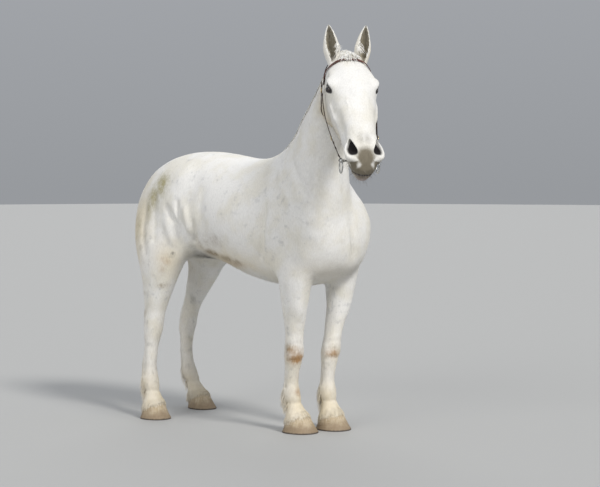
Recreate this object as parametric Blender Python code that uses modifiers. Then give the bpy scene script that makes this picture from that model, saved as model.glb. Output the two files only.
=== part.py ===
"""A still, life-size model of a white draught horse in its bridle.

The horse stands with its head up and turned to its right. Its body is modelled whole: lofts for
the trunk, neck, head and legs, and ellipsoids for the muscles, are fused into one skin, which
thin cuts then divide into the named pieces. Hooves, ears, eyes, mane, tail and bridle are pieces
of their own.

Row frame: metres, +Z up, the horse faces -Y, its left side is +X, and it stands on z = 0.
"""

import math

import bmesh
import bpy
import numpy as np
from mathutils import Matrix, Vector
from mathutils.bvhtree import BVHTree

# ---------------------------------------------------------------- driving dimensions
WITHERS_HEIGHT = 1.79
CROUP_HEIGHT = 1.76
BUTTOCK = -0.945          # forward position of the point of buttock
HEAD_LENGTH = 0.840       # poll to upper lip
HEAD_PITCH = math.radians(38)   # of the face line, from upright
HEAD_YAW = math.radians(35.5)   # towards the horse's right
NECK_YAW = math.radians(25)
EYE_RADIUS = 0.028
EAR_LENGTH = 0.195          # above its root
GAP = 0.0003              # between pieces that touch
SEAM = 0.0006             # width of the thin cuts that part the flesh
FLESH_VOXEL = 0.008
FLESH_KEPT = 0.0135       # share of the flesh's triangles kept by the last thinning

for stray in list(bpy.data.objects):
    bpy.data.objects.remove(stray)

HORSE = bpy.data.collections.new("draught_horse")
CUTTERS = bpy.data.collections.new("cutters")
for collection in (HORSE, CUTTERS):
    bpy.context.scene.collection.children.link(collection)


def at(forward, left, up):
    """A point given as the horse sees it."""
    return Vector((left, -forward, up))


# ---------------------------------------------------------------- materials
def material(name, colour, roughness, metallic=0.0):
    made = bpy.data.materials.new(name)
    made.use_nodes = True
    shader = made.node_tree.nodes["Principled BSDF"]
    shader.inputs["Base Color"].default_value = (*colour, 1.0)
    shader.inputs["Roughness"].default_value = roughness
    shader.inputs["Metallic"].default_value = metallic
    return made


COAT = material("white_coat", (0.80, 0.79, 0.74), 0.8)
LONG_HAIR = material("long_hair", (0.82, 0.79, 0.70), 0.75)
HORN = material("hoof_horn", (0.52, 0.42, 0.30), 0.6)
EYE = material("eye", (0.02, 0.015, 0.01), 0.08)
LEATHER = material("brown_leather", (0.10, 0.045, 0.03), 0.5)
STEEL = material("steel", (0.62, 0.62, 0.63), 0.25, 1.0)


# ---------------------------------------------------------------- mesh tools
def link(name, bm, look, collection=HORSE):
    bmesh.ops.recalc_face_normals(bm, faces=bm.faces)
    mesh = bpy.data.meshes.new(name)
    bm.to_mesh(mesh)
    bm.free()
    made = bpy.data.objects.new(name, mesh)
    made.data.materials.append(look)
    collection.objects.link(made)
    return made


def flow(keys, count):
    """Rows blended smoothly through the key rows, whose first column rises or falls steadily."""
    keys = np.array(keys, float)
    if keys[-1, 0] < keys[0, 0]:
        keys = keys[::-1]
    x = keys[:, 0]
    slopes = np.gradient(keys, x, axis=0)
    rows = []
    for value in np.linspace(x[0], x[-1], count):
        i = int(np.clip(np.searchsorted(x, value) - 1, 0, len(x) - 2))
        span = x[i + 1] - x[i]
        t = (value - x[i]) / span
        h = (2 * t**3 - 3 * t**2 + 1, t**3 - 2 * t**2 + t, 3 * t**2 - 2 * t**3, t**3 - t**2)
        ends = h[0] * keys[i] + h[2] * keys[i + 1]
        rows.append(ends + span * (h[1] * slopes[i] + h[3] * slopes[i + 1]))
    return rows


def outline(half_width, half_height, taper=0.0, power=2.0, count=32):
    """Points (across, upward) of a superellipse, wider above its middle where taper is positive."""
    points = []
    for i in range(count):
        c, s = math.cos(2 * math.pi * i / count), math.sin(2 * math.pi * i / count)
        height = math.copysign(abs(c) ** (2 / power), c)
        width = math.copysign(abs(s) ** (2 / power), s) * (1 + taper * height)
        points.append((half_width * width, half_height * height))
    return points


def section(bm, centre, across, upward, *shape):
    return [bm.verts.new(centre + across * a + upward * b) for a, b in outline(*shape)]


def skin_over(bm, rings):
    """Faces between the rings, and a cap at each end."""
    for first, second in zip(rings, rings[1:]):
        for i in range(len(first)):
            j = (i + 1) % len(first)
            bm.faces.new((first[i], first[j], second[j], second[i]))
    bm.faces.new(rings[0])
    bm.faces.new(rings[-1])


def unit_ball(name, subdivisions):
    bm = bmesh.new()
    bmesh.ops.create_icosphere(bm, subdivisions=subdivisions, radius=1)
    mesh = bpy.data.meshes.new(name)
    bm.to_mesh(mesh)
    bm.free()
    return mesh


FINE_BALL = unit_ball("fine_ball", 3)
PLAIN_BALL = unit_ball("plain_ball", 2)


def ball(bm, centre, axis, length, width, depth, facing, shape=FINE_BALL):
    """An ellipsoid: half sizes along its axis, across facing and along facing."""
    along = Vector(axis).normalized()
    outward = (Vector(facing) - along * along.dot(Vector(facing))).normalized()
    turn = Matrix((along, outward.cross(along), outward)).transposed().to_4x4()
    size = Matrix.Diagonal((length, width, depth, 1))
    already = len(bm.verts)
    bm.from_mesh(shape)
    bm.verts.ensure_lookup_table()
    bmesh.ops.transform(bm, matrix=Matrix.Translation(centre) @ turn @ size, verts=bm.verts[already:])


def muscle(bm, start, end, width, depth, facing, overrun=1.15):
    """An ellipsoid from one attachment to the other."""
    axis = end - start
    ball(bm, (start + end) / 2, axis, axis.length / 2 * overrun, width, depth, facing)


def settle(made):
    """The object's modifiers made real."""
    graph = bpy.context.evaluated_depsgraph_get()
    mesh = bpy.data.meshes.new_from_object(made.evaluated_get(graph))
    made.modifiers.clear()
    made.data = mesh


def boolean(made, other, operation="DIFFERENCE"):
    cut = made.modifiers.new(other.name, "BOOLEAN")
    cut.operation = operation
    cut.solver = "EXACT"
    cut.object = other
    settle(made)


# ---------------------------------------------------------------- trunk
# forward, top, bottom, half width, taper (negative is narrower on top), squareness
TRUNK = (
    (BUTTOCK, 1.405, 1.305, 0.060, 0.00, 2.0),
    (-0.925, 1.50, 1.22, 0.135, -0.02, 2.1),
    (-0.87, 1.62, 1.10, 0.220, -0.04, 2.2),
    (-0.76, 1.697, 1.05, 0.284, -0.06, 2.2),
    (-0.58, 1.750, 1.03, 0.322, -0.07, 2.25),
    (-0.40, CROUP_HEIGHT, 1.05, 0.335, -0.08, 2.2),
    (-0.20, 1.738, 1.015, 0.340, -0.05, 2.1),
    (0.00, 1.705, 0.945, 0.354, -0.02, 2.1),
    (0.18, 1.718, 0.905, 0.348, -0.07, 2.05),
    (0.34, WITHERS_HEIGHT, 0.895, 0.322, -0.24, 1.95),
    (0.48, 1.755, 0.905, 0.298, -0.26, 1.95),
    (0.62, 1.64, 0.945, 0.280, -0.12, 2.1),
    (0.73, 1.47, 1.00, 0.232, 0.05, 2.2),
    (0.785, 1.36, 1.07, 0.155, 0.05, 2.0),
    (0.805, 1.27, 1.15, 0.060, 0.0, 2.0),
)


def spine_shift(forward):
    """How far left the midline lies: the rump swings a little to the right."""
    return -0.055 * min(1.0, max(0.0, (0.25 - forward) / 1.2)) ** 1.4


def build_trunk(bm):
    rings = []
    for forward, top, bottom, half_width, taper, power in flow(TRUNK, 60):
        centre = at(forward, spine_shift(forward), (top + bottom) / 2)
        rings.append(
            section(bm, centre, at(0, 1, 0), at(0, 0, 1), half_width, (top - bottom) / 2, taper, power, 56)
        )
    skin_over(bm, rings)
    for side in (-1, 1):
        def on(forward, left, up, side=side):
            return at(forward, side * left + spine_shift(forward), up)

        out = at(0, side, 0)
        # gluteals, hamstrings down the back of the thigh, quadriceps to the stifle
        muscle(bm, on(-0.36, 0.215, 1.60), on(-0.80, 0.15, 1.50), 0.165, 0.100, at(0, 0.8 * side, 0.6))
        muscle(bm, on(-0.83, 0.165, 1.52), on(-0.78, 0.225, 0.98), 0.115, 0.100, out)
        muscle(bm, on(-0.52, 0.205, 1.48), on(-0.50, 0.255, 1.04), 0.165, 0.098, out)
        # flank fold to the stifle
        muscle(bm, on(-0.34, 0.235, 1.24), on(-0.48, 0.245, 1.03), 0.050, 0.045, out)
        # shoulder: blade, triceps to the elbow, point of shoulder, and the arm below it
        muscle(bm, on(0.34, 0.120, 1.70), on(0.66, 0.225, 1.26), 0.145, 0.085, at(0, side, 0.35))
        muscle(bm, on(0.42, 0.215, 1.42), on(0.40, 0.232, 1.00), 0.130, 0.072, out)
        muscle(bm, on(0.67, 0.215, 1.34), on(0.56, 0.222, 1.02), 0.100, 0.080, at(0.5, side, 0))
        # breast
        muscle(bm, on(0.70, 0.085, 1.30), on(0.60, 0.155, 0.99), 0.105, 0.110, at(1, 0.3 * side, 0))
    ball(bm, on(-0.86, 0, 1.560), at(1, 0, 0.9), 0.12, 0.060, 0.050, at(0, 0, 1))        # dock


# ---------------------------------------------------------------- neck
# reach and height of the crest, reach and height of the underline, half width, taper
NECK = (
    (-0.16, 1.70, 0.22, 1.02, 0.225, -0.05),
    (-0.04, 1.765, 0.38, 1.10, 0.225, -0.10),
    (0.07, 1.845, 0.465, 1.26, 0.205, -0.12),
    (0.18, 1.925, 0.505, 1.42, 0.175, -0.14),
    (0.31, 2.015, 0.525, 1.60, 0.148, -0.15),
    (0.44, 2.10, 0.550, 1.76, 0.130, -0.15),
    (0.55, 2.176, 0.590, 1.89, 0.118, -0.12),
    (0.635, 2.236, 0.670, 1.98, 0.108, -0.05),
    (0.72, 2.286, 0.770, 2.06, 0.098, 0.0),
    (0.79, 2.296, 0.850, 2.12, 0.082, 0.0),
)
NECK_ROOT = 0.33          # forward position of the withers, from which the neck's reach is measured


def neck_bend(reach):
    return NECK_YAW * min(1.0, max(0.0, (reach + 0.1) / 0.35))


def neck_point(reach, up, left=0.0):
    """A point in the neck's bent plane, by its reach from the withers."""
    bend = neck_bend(reach)
    sideways = reach * math.sin(bend) if reach > 0 else 0.0
    return at(NECK_ROOT + reach * math.cos(bend), left - sideways, up)


def neck_stations(count):
    """Centre, across, upward to the crest, half width and taper, from the root to the poll."""
    for row in flow([(i, *row) for i, row in enumerate(NECK)], count):
        _, crest_reach, crest, under_reach, under, half_width, taper = row
        top, bottom = neck_point(crest_reach, crest), neck_point(under_reach, under)
        bend = neck_bend((crest_reach + under_reach) / 2)
        yield (top + bottom) / 2, at(math.sin(bend), math.cos(bend), 0), (top - bottom) / 2, half_width, taper


def build_neck(bm):
    skin_over(
        bm,
        [
            section(bm, centre, across, upward, half_width, 1.0, taper, 2.1, 48)
            for centre, across, upward, half_width, taper in neck_stations(40)
        ],
    )


# ---------------------------------------------------------------- head
POLL = at(1.014, -0.314, 2.314)
FACE_LEVEL = at(math.cos(HEAD_YAW), -math.sin(HEAD_YAW), 0)
FACE_DOWN = FACE_LEVEL * math.sin(HEAD_PITCH) + at(0, 0, -math.cos(HEAD_PITCH))
FACE_OUT = FACE_LEVEL * math.cos(HEAD_PITCH) + at(0, 0, math.sin(HEAD_PITCH))
FACE_LEFT = at(math.sin(HEAD_YAW), math.cos(HEAD_YAW), 0)


def face_way(down, out, left=0.0):
    return FACE_DOWN * down + FACE_OUT * out + FACE_LEFT * left


def face(down, out, left=0.0):
    """A point of the head: down the face from the poll, out of the face line, and to its left."""
    return POLL + face_way(down, out, left)


# down the face, face line, jaw line, half width, taper, squareness
HEAD = (
    (-0.040, -0.085, -0.20, 0.058, 0.10, 2.0),
    (0.03, -0.004, -0.25, 0.094, 0.12, 2.1),
    (0.11, 0.018, -0.305, 0.120, 0.16, 2.3),
    (0.20, 0.028, -0.335, 0.137, 0.16, 2.4),
    (0.29, 0.022, -0.328, 0.139, 0.12, 2.4),
    (0.38, 0.012, -0.298, 0.132, 0.08, 2.3),
    (0.47, 0.004, -0.255, 0.119, 0.06, 2.3),
    (0.56, 0.000, -0.220, 0.106, 0.03, 2.3),
    (0.64, -0.004, -0.198, 0.096, 0.02, 2.3),
    (0.71, -0.014, -0.185, 0.088, 0.02, 2.2),
    (0.77, -0.036, -0.178, 0.077, 0.03, 2.2),
    (0.81, -0.064, -0.170, 0.064, 0.0, 2.1),
    (HEAD_LENGTH, -0.105, -0.155, 0.036, 0.0, 2.0),
)
EYE_AT = (0.262, -0.060, 0.129)         # down, out, left of the left eye's middle
NOSTRIL_AT = (0.738, -0.038, 0.082)


def build_head(bm):
    rings = []
    for down, top, bottom, half_width, taper, power in flow(HEAD, 50):
        centre = face(down, (top + bottom) / 2)
        rings.append(
            section(bm, centre, FACE_LEFT, FACE_OUT, half_width, (top - bottom) / 2, taper, power, 48)
        )
    skin_over(bm, rings)
    for side in (-1, 1):
        out = face_way(0, 0.25, side)
        brow = face(0.150, -0.050, side * 0.118), face(0.275, -0.022, side * 0.126)
        muscle(bm, *brow, 0.036, 0.028, out, 1.5)
        under_eye = face(0.230, -0.105, side * 0.122), face(0.330, -0.088, side * 0.120)
        muscle(bm, *under_eye, 0.026, 0.026, out, 1.5)
        temple, cheek = face(0.13, -0.095, side * 0.092), face(0.235, -0.215, side * 0.095)
        ball(bm, temple, face_way(1, 0), 0.090, 0.065, 0.042, out)
        ball(bm, cheek, face_way(1, 0.1), 0.145, 0.120, 0.044, FACE_LEFT * side)
        facial_crest = face(0.31, -0.092, side * 0.128), face(0.48, -0.105, side * 0.103)
        muscle(bm, *facial_crest, 0.018, 0.016, out, 1.3)
        # nostril wings and the corners of the lips
        ball(bm, face(0.728, -0.064, side * 0.079), face_way(1, 0.12, 0.05 * side), 0.068, 0.052, 0.038, out)
        ball(bm, face(0.785, -0.120, side * 0.036), face_way(1, -0.3, 0), 0.050, 0.046, 0.032, out)
    ball(bm, face(0.785, -0.182, 0), face_way(1, 0.20, 0), 0.048, 0.056, 0.036, face_way(0, -1, 0))
    ball(bm, face(0.725, -0.196, 0), face_way(1, 0.1, 0), 0.060, 0.052, 0.036, face_way(0, -1, 0))
    ball(bm, face(0.015, -0.055, 0), face_way(1, 0, 0), 0.050, 0.070, 0.045, face_way(0, 1, 0))


# ---------------------------------------------------------------- legs
# height, half depth, half width
FORELEG = (
    (1.16, 0.100, 0.060),
    (1.08, 0.128, 0.085),
    (1.00, 0.126, 0.088),
    (0.92, 0.114, 0.090),
    (0.80, 0.091, 0.077),
    (0.69, 0.074, 0.064),
    (0.60, 0.062, 0.056),
    (0.53, 0.063, 0.063),
    (0.475, 0.063, 0.065),
    (0.42, 0.054, 0.053),
    (0.36, 0.049, 0.046),
    (0.3, 0.050, 0.046),
    (0.255, 0.058, 0.053),
    (0.215, 0.058, 0.055),
    (0.175, 0.050, 0.050),
    (0.130, 0.062, 0.064),
    (0.095, 0.080, 0.082),
    (0.030, 0.086, 0.088),
)
HINDLEG = (
    (1.50, 0.140, 0.060),
    (1.40, 0.205, 0.095),
    (1.28, 0.238, 0.115),
    (1.16, 0.236, 0.122),
    (1.05, 0.205, 0.118),
    (0.95, 0.160, 0.102),
    (0.86, 0.126, 0.086),
    (0.77, 0.100, 0.071),
    (0.70, 0.085, 0.061),
    (0.635, 0.080, 0.062),
    (0.575, 0.072, 0.060),
    (0.50, 0.057, 0.049),
    (0.41, 0.051, 0.042),
    (0.32, 0.051, 0.043),
    (0.265, 0.060, 0.052),
    (0.22, 0.059, 0.054),
    (0.175, 0.052, 0.051),
    (0.130, 0.061, 0.063),
    (0.095, 0.077, 0.078),
    (0.030, 0.082, 0.084),
)
# the line each leg's middle follows: height, forward, left
LEG_LINES = {
    "fore_right": (
        (1.16, 0.51, -0.205),
        (0.92, 0.480, -0.188),
        (0.72, 0.455, -0.165),
        (0.50, 0.432, -0.146),
        (0.245, 0.392, -0.126),
        (0.03, 0.462, -0.111),
    ),
    "fore_left": (
        (1.16, 0.53, 0.215),
        (0.92, 0.505, 0.208),
        (0.72, 0.50, 0.167),
        (0.50, 0.495, 0.124),
        (0.245, 0.477, 0.113),
        (0.03, 0.532, 0.117),
    ),
    "hind_right": (
        (1.50, -0.64, -0.220),
        (1.28, -0.66, -0.250),
        (1.05, -0.64, -0.278),
        (0.61, -0.70, -0.300),
        (0.245, -0.690, -0.335),
        (0.03, -0.618, -0.348),
    ),
    "hind_left": (
        (1.50, -0.64, 0.115),
        (1.28, -0.66, 0.135),
        (1.05, -0.665, 0.160),
        (0.61, -0.85, 0.150),
        (0.245, -0.845, 0.158),
        (0.03, -0.725, 0.172),
    ),
}
# degrees the toe points to the left
TOE_OUT = {"fore_right": 2, "fore_left": -4, "hind_right": 2, "hind_left": -16}
# half length, half width on the ground, and the same at the coronet
HOOF = {"fore": (0.114, 0.107, 0.078, 0.083), "hind": (0.103, 0.096, 0.075, 0.078)}
CORONET_HEIGHT = 0.088
CORONET_SLOPE = math.radians(24)


class Leg:
    """Places and directions on one leg."""

    def __init__(self, name):
        self.name = name
        self.side = -1 if name.endswith("right") else 1
        self.line = np.array(flow(LEG_LINES[name], 160))
        turn = math.radians(TOE_OUT[name])
        self.ahead = at(math.cos(turn), math.sin(turn), 0)
        self.across = at(-math.sin(turn), math.cos(turn), 0)

    def near(self, up, forward=0.0, outside=0.0):
        """A point by its height and its distance from the middle of the leg there."""
        middle = at(*(np.interp(up, self.line[:, 0], self.line[:, i]) for i in (1, 2)), up)
        return middle + self.ahead * forward + self.across * (outside * self.side)


LEGS = {name: Leg(name) for name in LEG_LINES}


def build_leg(bm, leg):
    fore = leg.name.startswith("fore")
    rings = []
    for height, half_depth, half_width in flow(FORELEG if fore else HINDLEG, 70):
        shape = half_width, half_depth, 0.0, 2.1, 32
        rings.append(section(bm, leg.near(height), leg.across, leg.ahead, *shape))
    skin_over(bm, rings)
    across, ahead, up, near = leg.across * leg.side, leg.ahead, at(0, 0, 1), leg.near
    if fore:
        muscle(bm, near(0.94, -0.070, 0.03), near(1.08, -0.115, 0.02), 0.045, 0.048, across)   # elbow
        muscle(bm, near(0.95, 0.045, 0.035), near(0.66, 0.025, 0.015), 0.058, 0.045, across)
        ball(bm, near(0.520, -0.050, 0.010), up, 0.040, 0.024, 0.024, ahead)                   # knee, behind
        ball(bm, near(0.505, 0.026, 0.0), up, 0.060, 0.054, 0.038, ahead)                 # knee, in front
        muscle(bm, near(0.44, -0.034, 0.0), near(0.26, -0.040, 0.0), 0.020, 0.018, across)     # tendons
    else:
        ball(bm, near(1.070, 0.150, 0.02), up, 0.080, 0.068, 0.070, ahead)                     # stifle
        muscle(bm, near(0.86, -0.085, 0.0), near(0.66, -0.070, 0.0), 0.024, 0.026, across)     # hock tendon
        ball(bm, near(0.665, -0.072, 0.0), up, 0.044, 0.027, 0.026, ahead)                     # point of hock
        ball(bm, near(0.59, 0.022, 0.0), up, 0.070, 0.057, 0.052, ahead)
        muscle(bm, near(0.55, -0.040, 0.0), near(0.26, -0.048, 0.0), 0.020, 0.020, across)     # tendons
        muscle(bm, near(0.44, -0.040, 0.0), near(0.19, -0.066, 0.0), 0.040, 0.026, across)     # feather
    ball(bm, near(0.235, -0.030, 0.0), up, 0.050, 0.050, 0.036, ahead)                         # fetlock
    muscle(bm, near(0.27, -0.036, 0.0), near(0.16, -0.056, 0.0), 0.032, 0.036, across)         # its hair
    ball(bm, near(0.095, -0.040, 0.0), up, 0.055, 0.070, 0.042, ahead)                         # heel bulbs


# ---------------------------------------------------------------- the fused body
def softness(points):
    """How much each point of the flesh is smoothed: the trunk most, the head and lower legs least."""
    up, forward = points[:, 2], -points[:, 1]
    leg = np.clip((up - 0.72) / 0.30, 0.0, 1.0)
    poll = np.array(POLL)
    along = (points - poll) @ np.array(FACE_DOWN)
    jaw = (points - poll) @ np.array(FACE_OUT)
    head = (along > -0.02) & (jaw > -0.30) & (forward > 0.88) & (up > 1.5)
    return np.where(head, 0.35, 0.10 + 0.90 * leg * leg)


def plainness(points):
    """How readily each point of the flesh is thinned out: least on the face, most on the trunk."""
    face_along = (points - np.array(POLL)) @ np.array(FACE_DOWN)
    head = (face_along > 0.05) & (-points[:, 1] > 0.88) & (points[:, 2] > 1.45)
    low = points[:, 2] < 0.8
    return np.where(head, 0.55, np.where(low, 0.75, 1.0))


def grade(made, name, weights, levels=20):
    """A vertex group of the given weights, in a few steps."""
    group = made.vertex_groups.new(name=name)
    steps = np.round(weights * levels).astype(int)
    for step in np.unique(steps):
        group.add([int(i) for i in np.flatnonzero(steps == step)], step / levels, "REPLACE")


def places(mesh):
    points = np.empty(len(mesh.vertices) * 3)
    mesh.vertices.foreach_get("co", points)
    return points.reshape(-1, 3)


def fuse_flesh():
    """The whole body as one closed mesh, fine on the head and coarser on the trunk."""
    bm = bmesh.new()
    build_trunk(bm)
    build_neck(bm)
    build_head(bm)
    for leg in LEGS.values():
        build_leg(bm, leg)
    body = link("flesh", bm, COAT)
    remesh = body.modifiers.new("fuse", "REMESH")
    remesh.mode = "VOXEL"
    remesh.voxel_size = FLESH_VOXEL
    settle(body)
    grade(body, "soft", softness(places(body.data)))
    soften = body.modifiers.new("soften", "SMOOTH")
    soften.factor = 0.5
    soften.iterations = 60
    soften.vertex_group = "soft"
    settle(body)
    body.vertex_groups.clear()
    grade(body, "plain", plainness(places(body.data)))
    thin = body.modifiers.new("thin", "DECIMATE")
    thin.ratio = FLESH_KEPT
    thin.use_collapse_triangulate = True
    thin.vertex_group = "plain"
    thin.vertex_group_factor = 0.003
    settle(body)
    return body


flesh = fuse_flesh()


# ---------------------------------------------------------------- cutters
def hide(made):
    made.hide_render = True
    made.display_type = "WIRE"
    return made


def box_cutter(name, centre, along, normal, length, width, thickness):
    """A box whose thickness lies along the normal and whose length lies along the second direction."""
    along, normal = along.normalized(), normal.normalized()
    turn = Matrix((along, normal.cross(along), normal)).transposed().to_4x4()
    size = Matrix.Diagonal((length, width, thickness, 1))
    bm = bmesh.new()
    bmesh.ops.create_cube(bm, size=1, matrix=Matrix.Translation(centre) @ turn @ size)
    return hide(link(name, bm, COAT, CUTTERS))


def ball_cutter(name, *shape):
    bm = bmesh.new()
    ball(bm, *shape, PLAIN_BALL)
    return hide(link(name, bm, COAT, CUTTERS))


def swollen(made, name, by=2 * GAP):
    """A slightly larger copy, which a neighbour is cut back by."""
    copy = bpy.data.objects.new(name, made.data.copy())
    CUTTERS.objects.link(copy)
    grow = copy.modifiers.new("grow", "DISPLACE")
    grow.strength = by
    grow.mid_level = 0.0
    settle(copy)
    return hide(copy)


# ---------------------------------------------------------------- parting the flesh
whole = swollen(flesh, "whole_flesh")


def coronet(leg):
    """The middle of the coronet, the direction up its slope, and the way its plane faces."""
    slope = leg.ahead * math.cos(CORONET_SLOPE) + at(0, 0, math.sin(CORONET_SLOPE))
    return leg.near(CORONET_HEIGHT, -0.012), slope, slope.cross(leg.across).normalized()


# height of each cut across a leg, and how far it reaches along the body
LEG_CUTS = {
    "fore": {"top": (0.870, 0.34), "middle": (0.445, 0.22)},
    "hind": {"top": (0.985, 0.60), "middle": (0.505, 0.22)},
}
LEG_CUT_WIDTH = 0.24


def part_flesh():
    """Thin cuts divide the body, and the feet come off where the hooves begin."""
    cuts = [
        ("head", POLL - FACE_LEVEL * 0.153 - at(0, 0, 0.19), at(0, 0, 1), FACE_LEVEL, 0.48, 0.40, SEAM),
        ("neck", at(0.555, -0.06, 1.56), at(0.50, 0, -0.56), at(0.56, 0, 0.50), 1.00, 0.84, SEAM),
    ]
    for name, leg in LEGS.items():
        levels = LEG_CUTS["fore" if name.startswith("fore") else "hind"]
        for part, (up, length) in levels.items():
            level = leg.near(up), at(1, 0, 0), at(0, 0, 1)
            cuts.append((f"{name}_{part}", *level, length, LEG_CUT_WIDTH, SEAM))
        middle, slope, facing = coronet(leg)
        cuts.append((f"{name}_foot", middle - facing * 0.07, slope, facing, 0.40, 0.25, 0.14))
    for name, *box in cuts:
        boolean(flesh, box_cutter(f"{name}_cut", *box))


FLESH_NAMES = {
    "head": face(0.32, -0.15),
    "neck": neck_point(0.36, 1.75),
    "trunk": at(-0.05, -0.02, 1.35),
}
for name, leg in LEGS.items():
    where = name.split("_")
    FLESH_NAMES[f"{'forearm' if where[0] == 'fore' else 'gaskin'}_{where[1]}"] = leg.near(0.70)
    FLESH_NAMES[f"{where[0]}_cannon_{where[1]}"] = leg.near(0.28)


def name_islands():
    """Each loose island of the parted flesh becomes an object, named after the nearest place."""
    bm = bmesh.new()
    bm.from_mesh(flesh.data)
    waiting = set(bm.verts)
    named = {}
    while waiting:
        island, edge = set(), [waiting.pop()]
        while edge:
            vert = edge.pop()
            island.add(vert)
            for link_edge in vert.link_edges:
                other = link_edge.other_vert(vert)
                if other in waiting:
                    waiting.remove(other)
                    edge.append(other)
        centre = sum((vert.co for vert in island), Vector()) / len(island)
        name = min(FLESH_NAMES, key=lambda key: (FLESH_NAMES[key] - centre).length)
        part = bmesh.new()
        copies = {vert: part.verts.new(vert.co) for vert in island}
        for polygon in {polygon for vert in island for polygon in vert.link_faces}:
            part.faces.new([copies[vert] for vert in polygon.verts])
        named[name] = link(name, part, COAT)
    bm.free()
    bpy.data.objects.remove(flesh)
    return named


part_flesh()
pieces = name_islands()


# ---------------------------------------------------------------- hooves
def build_hoof(leg):
    where, side = leg.name.split("_")
    length, width, top_length, top_width = HOOF[where]
    middle, slope, facing = coronet(leg)
    ground = leg.near(0.03, -0.004)
    ground.z = 0
    bm = bmesh.new()
    low = [ground + leg.across * a + leg.ahead * b for a, b in outline(width, length, -0.10, 2.3, 28)]
    high = [
        middle - facing * GAP + leg.across * a + slope * b
        for a, b in outline(top_width, top_length, -0.04, 2.2, 28)
    ]
    rings = []
    for rise, flare in ((0.0, 0.0), (0.09, 0.0), (0.5, -0.004), (1.0, 0.0)):
        ring = []
        for a, b in zip(low, high):
            point = a.lerp(b, rise) if rise != 0.09 else a.lerp(b, 0.04) + at(0, 0, 0.006)
            ring.append(bm.verts.new(point + (ground - a).normalized() * -flare))
        rings.append(ring)
    skin_over(bm, rings)
    pieces[f"{where}_hoof_{side}"] = link(f"{where}_hoof_{side}", bm, HORN)


for leg in LEGS.values():
    build_hoof(leg)


# ---------------------------------------------------------------- eyes, nostrils and ears
def build_eye(side, name):
    middle = face(EYE_AT[0], EYE_AT[1], side * EYE_AT[2])
    bm = bmesh.new()
    bmesh.ops.create_icosphere(bm, subdivisions=2, radius=EYE_RADIUS, matrix=Matrix.Translation(middle))
    pieces[name] = link(name, bm, EYE)
    boolean(pieces["head"], swollen(pieces[name], f"{name}_socket"))
    where = face(NOSTRIL_AT[0], NOSTRIL_AT[1], side * NOSTRIL_AT[2])
    along, inward = face_way(1, -0.10, -0.35 * side), face_way(0.2, 0.6, 0.70 * side)
    nostril = ball_cutter(f"{name}_nostril", where, along, 0.042, 0.022, 0.036, inward)
    boolean(pieces["head"], nostril)


# up the ear as a share of its length: half width, half angle of the shell, thickness of its wall
EAR = (
    (-0.25, 0.032, 165, 0.0080),
    (0.00, 0.042, 158, 0.0080),
    (0.20, 0.050, 140, 0.0075),
    (0.40, 0.048, 128, 0.0065),
    (0.60, 0.039, 120, 0.0060),
    (0.78, 0.027, 112, 0.0055),
    (0.92, 0.014, 105, 0.0050),
    (1.00, 0.006, 100, 0.0035),
)


def build_ear(side, name):
    root = face(0.040, -0.042, side * 0.086)
    axis = face_way(-0.80, 0.56, 0.12 * side).normalized()
    front = FACE_LEVEL + FACE_LEFT * (0.10 * side)
    front = (front - axis * front.dot(axis)).normalized()
    sideways = axis.cross(front)
    bm = bmesh.new()
    rings = []
    for up, radius, spread, wall in flow(EAR, 10):
        middle = root + axis * (up * EAR_LENGTH) + front * (0.012 * up * up)
        angles = [math.radians(spread * (i / 4 - 1)) for i in range(9)]
        ring = []
        for reach, sweep in ((radius, angles), (radius - wall, angles[::-1])):
            for angle in sweep:
                way = sideways * math.sin(angle) - front * (0.80 * math.cos(angle))
                ring.append(bm.verts.new(middle + way * reach))
        rings.append(ring)
    skin_over(bm, rings)
    pieces[name] = link(name, bm, COAT)
    boolean(pieces[name], whole)


for side, which in ((-1, "right"), (1, "left")):
    build_eye(side, f"eye_{which}")
    build_ear(side, f"ear_{which}")


# ---------------------------------------------------------------- mane, forelock and tail
MANE_DROP = 0.155         # how far the mane hangs down the right side of the neck
MANE_DEPTH = 0.017


def build_mane():
    stations = list(neck_stations(61))[12:51:3]
    bm = bmesh.new()
    rings = []
    for i, (centre, across, upward, half_width, taper) in enumerate(stations):
        end = i / (len(stations) - 1)
        swell = math.sin(math.pi * (0.10 + 0.80 * end)) ** 0.6
        drop = MANE_DROP * swell * (1 + 0.05 * math.sin(2.3 * i) + 0.04 * math.sin(5.1 * i))
        low = -math.acos(1 - drop / upward.length)
        sweep = [0.30 * swell + (low - 0.30 * swell) * j / 6 for j in range(7)]
        ring = []
        for inside, angles in ((False, sweep), (True, sweep[::-1])):
            for angle in angles:
                c, s = math.cos(angle), math.sin(angle)
                point = across * (half_width * s * (1 + taper * c)) + upward * c
                depth = MANE_DEPTH * (1.0 - 0.45 * abs(angle / low)) * swell
                reach = point * 0.84 if inside else point + point.normalized() * depth
                ring.append(bm.verts.new(centre + reach))
        rings.append(ring)
    skin_over(bm, rings)
    pieces["mane"] = link("mane", bm, LONG_HAIR)
    boolean(pieces["mane"], whole)


def build_forelock():
    bm = bmesh.new()
    ball(bm, face(0.040, -0.004, 0), face_way(1, 0.20), 0.060, 0.046, 0.032, face_way(-0.2, 1), PLAIN_BALL)
    pieces["forelock"] = link("forelock", bm, LONG_HAIR)
    boolean(pieces["forelock"], whole)


# forward, left, up, half width across, half depth
TAIL = (
    (-0.860, -0.055, 1.590, 0.040, 0.030),
    (-0.925, -0.055, 1.535, 0.048, 0.036),
    (-0.968, -0.055, 1.450, 0.055, 0.042),
    (-0.985, -0.055, 1.300, 0.060, 0.045),
    (-0.975, -0.052, 1.120, 0.064, 0.048),
    (-0.958, -0.050, 0.940, 0.064, 0.048),
    (-0.945, -0.048, 0.760, 0.058, 0.044),
    (-0.938, -0.046, 0.620, 0.044, 0.034),
    (-0.935, -0.045, 0.520, 0.022, 0.018),
)


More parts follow.
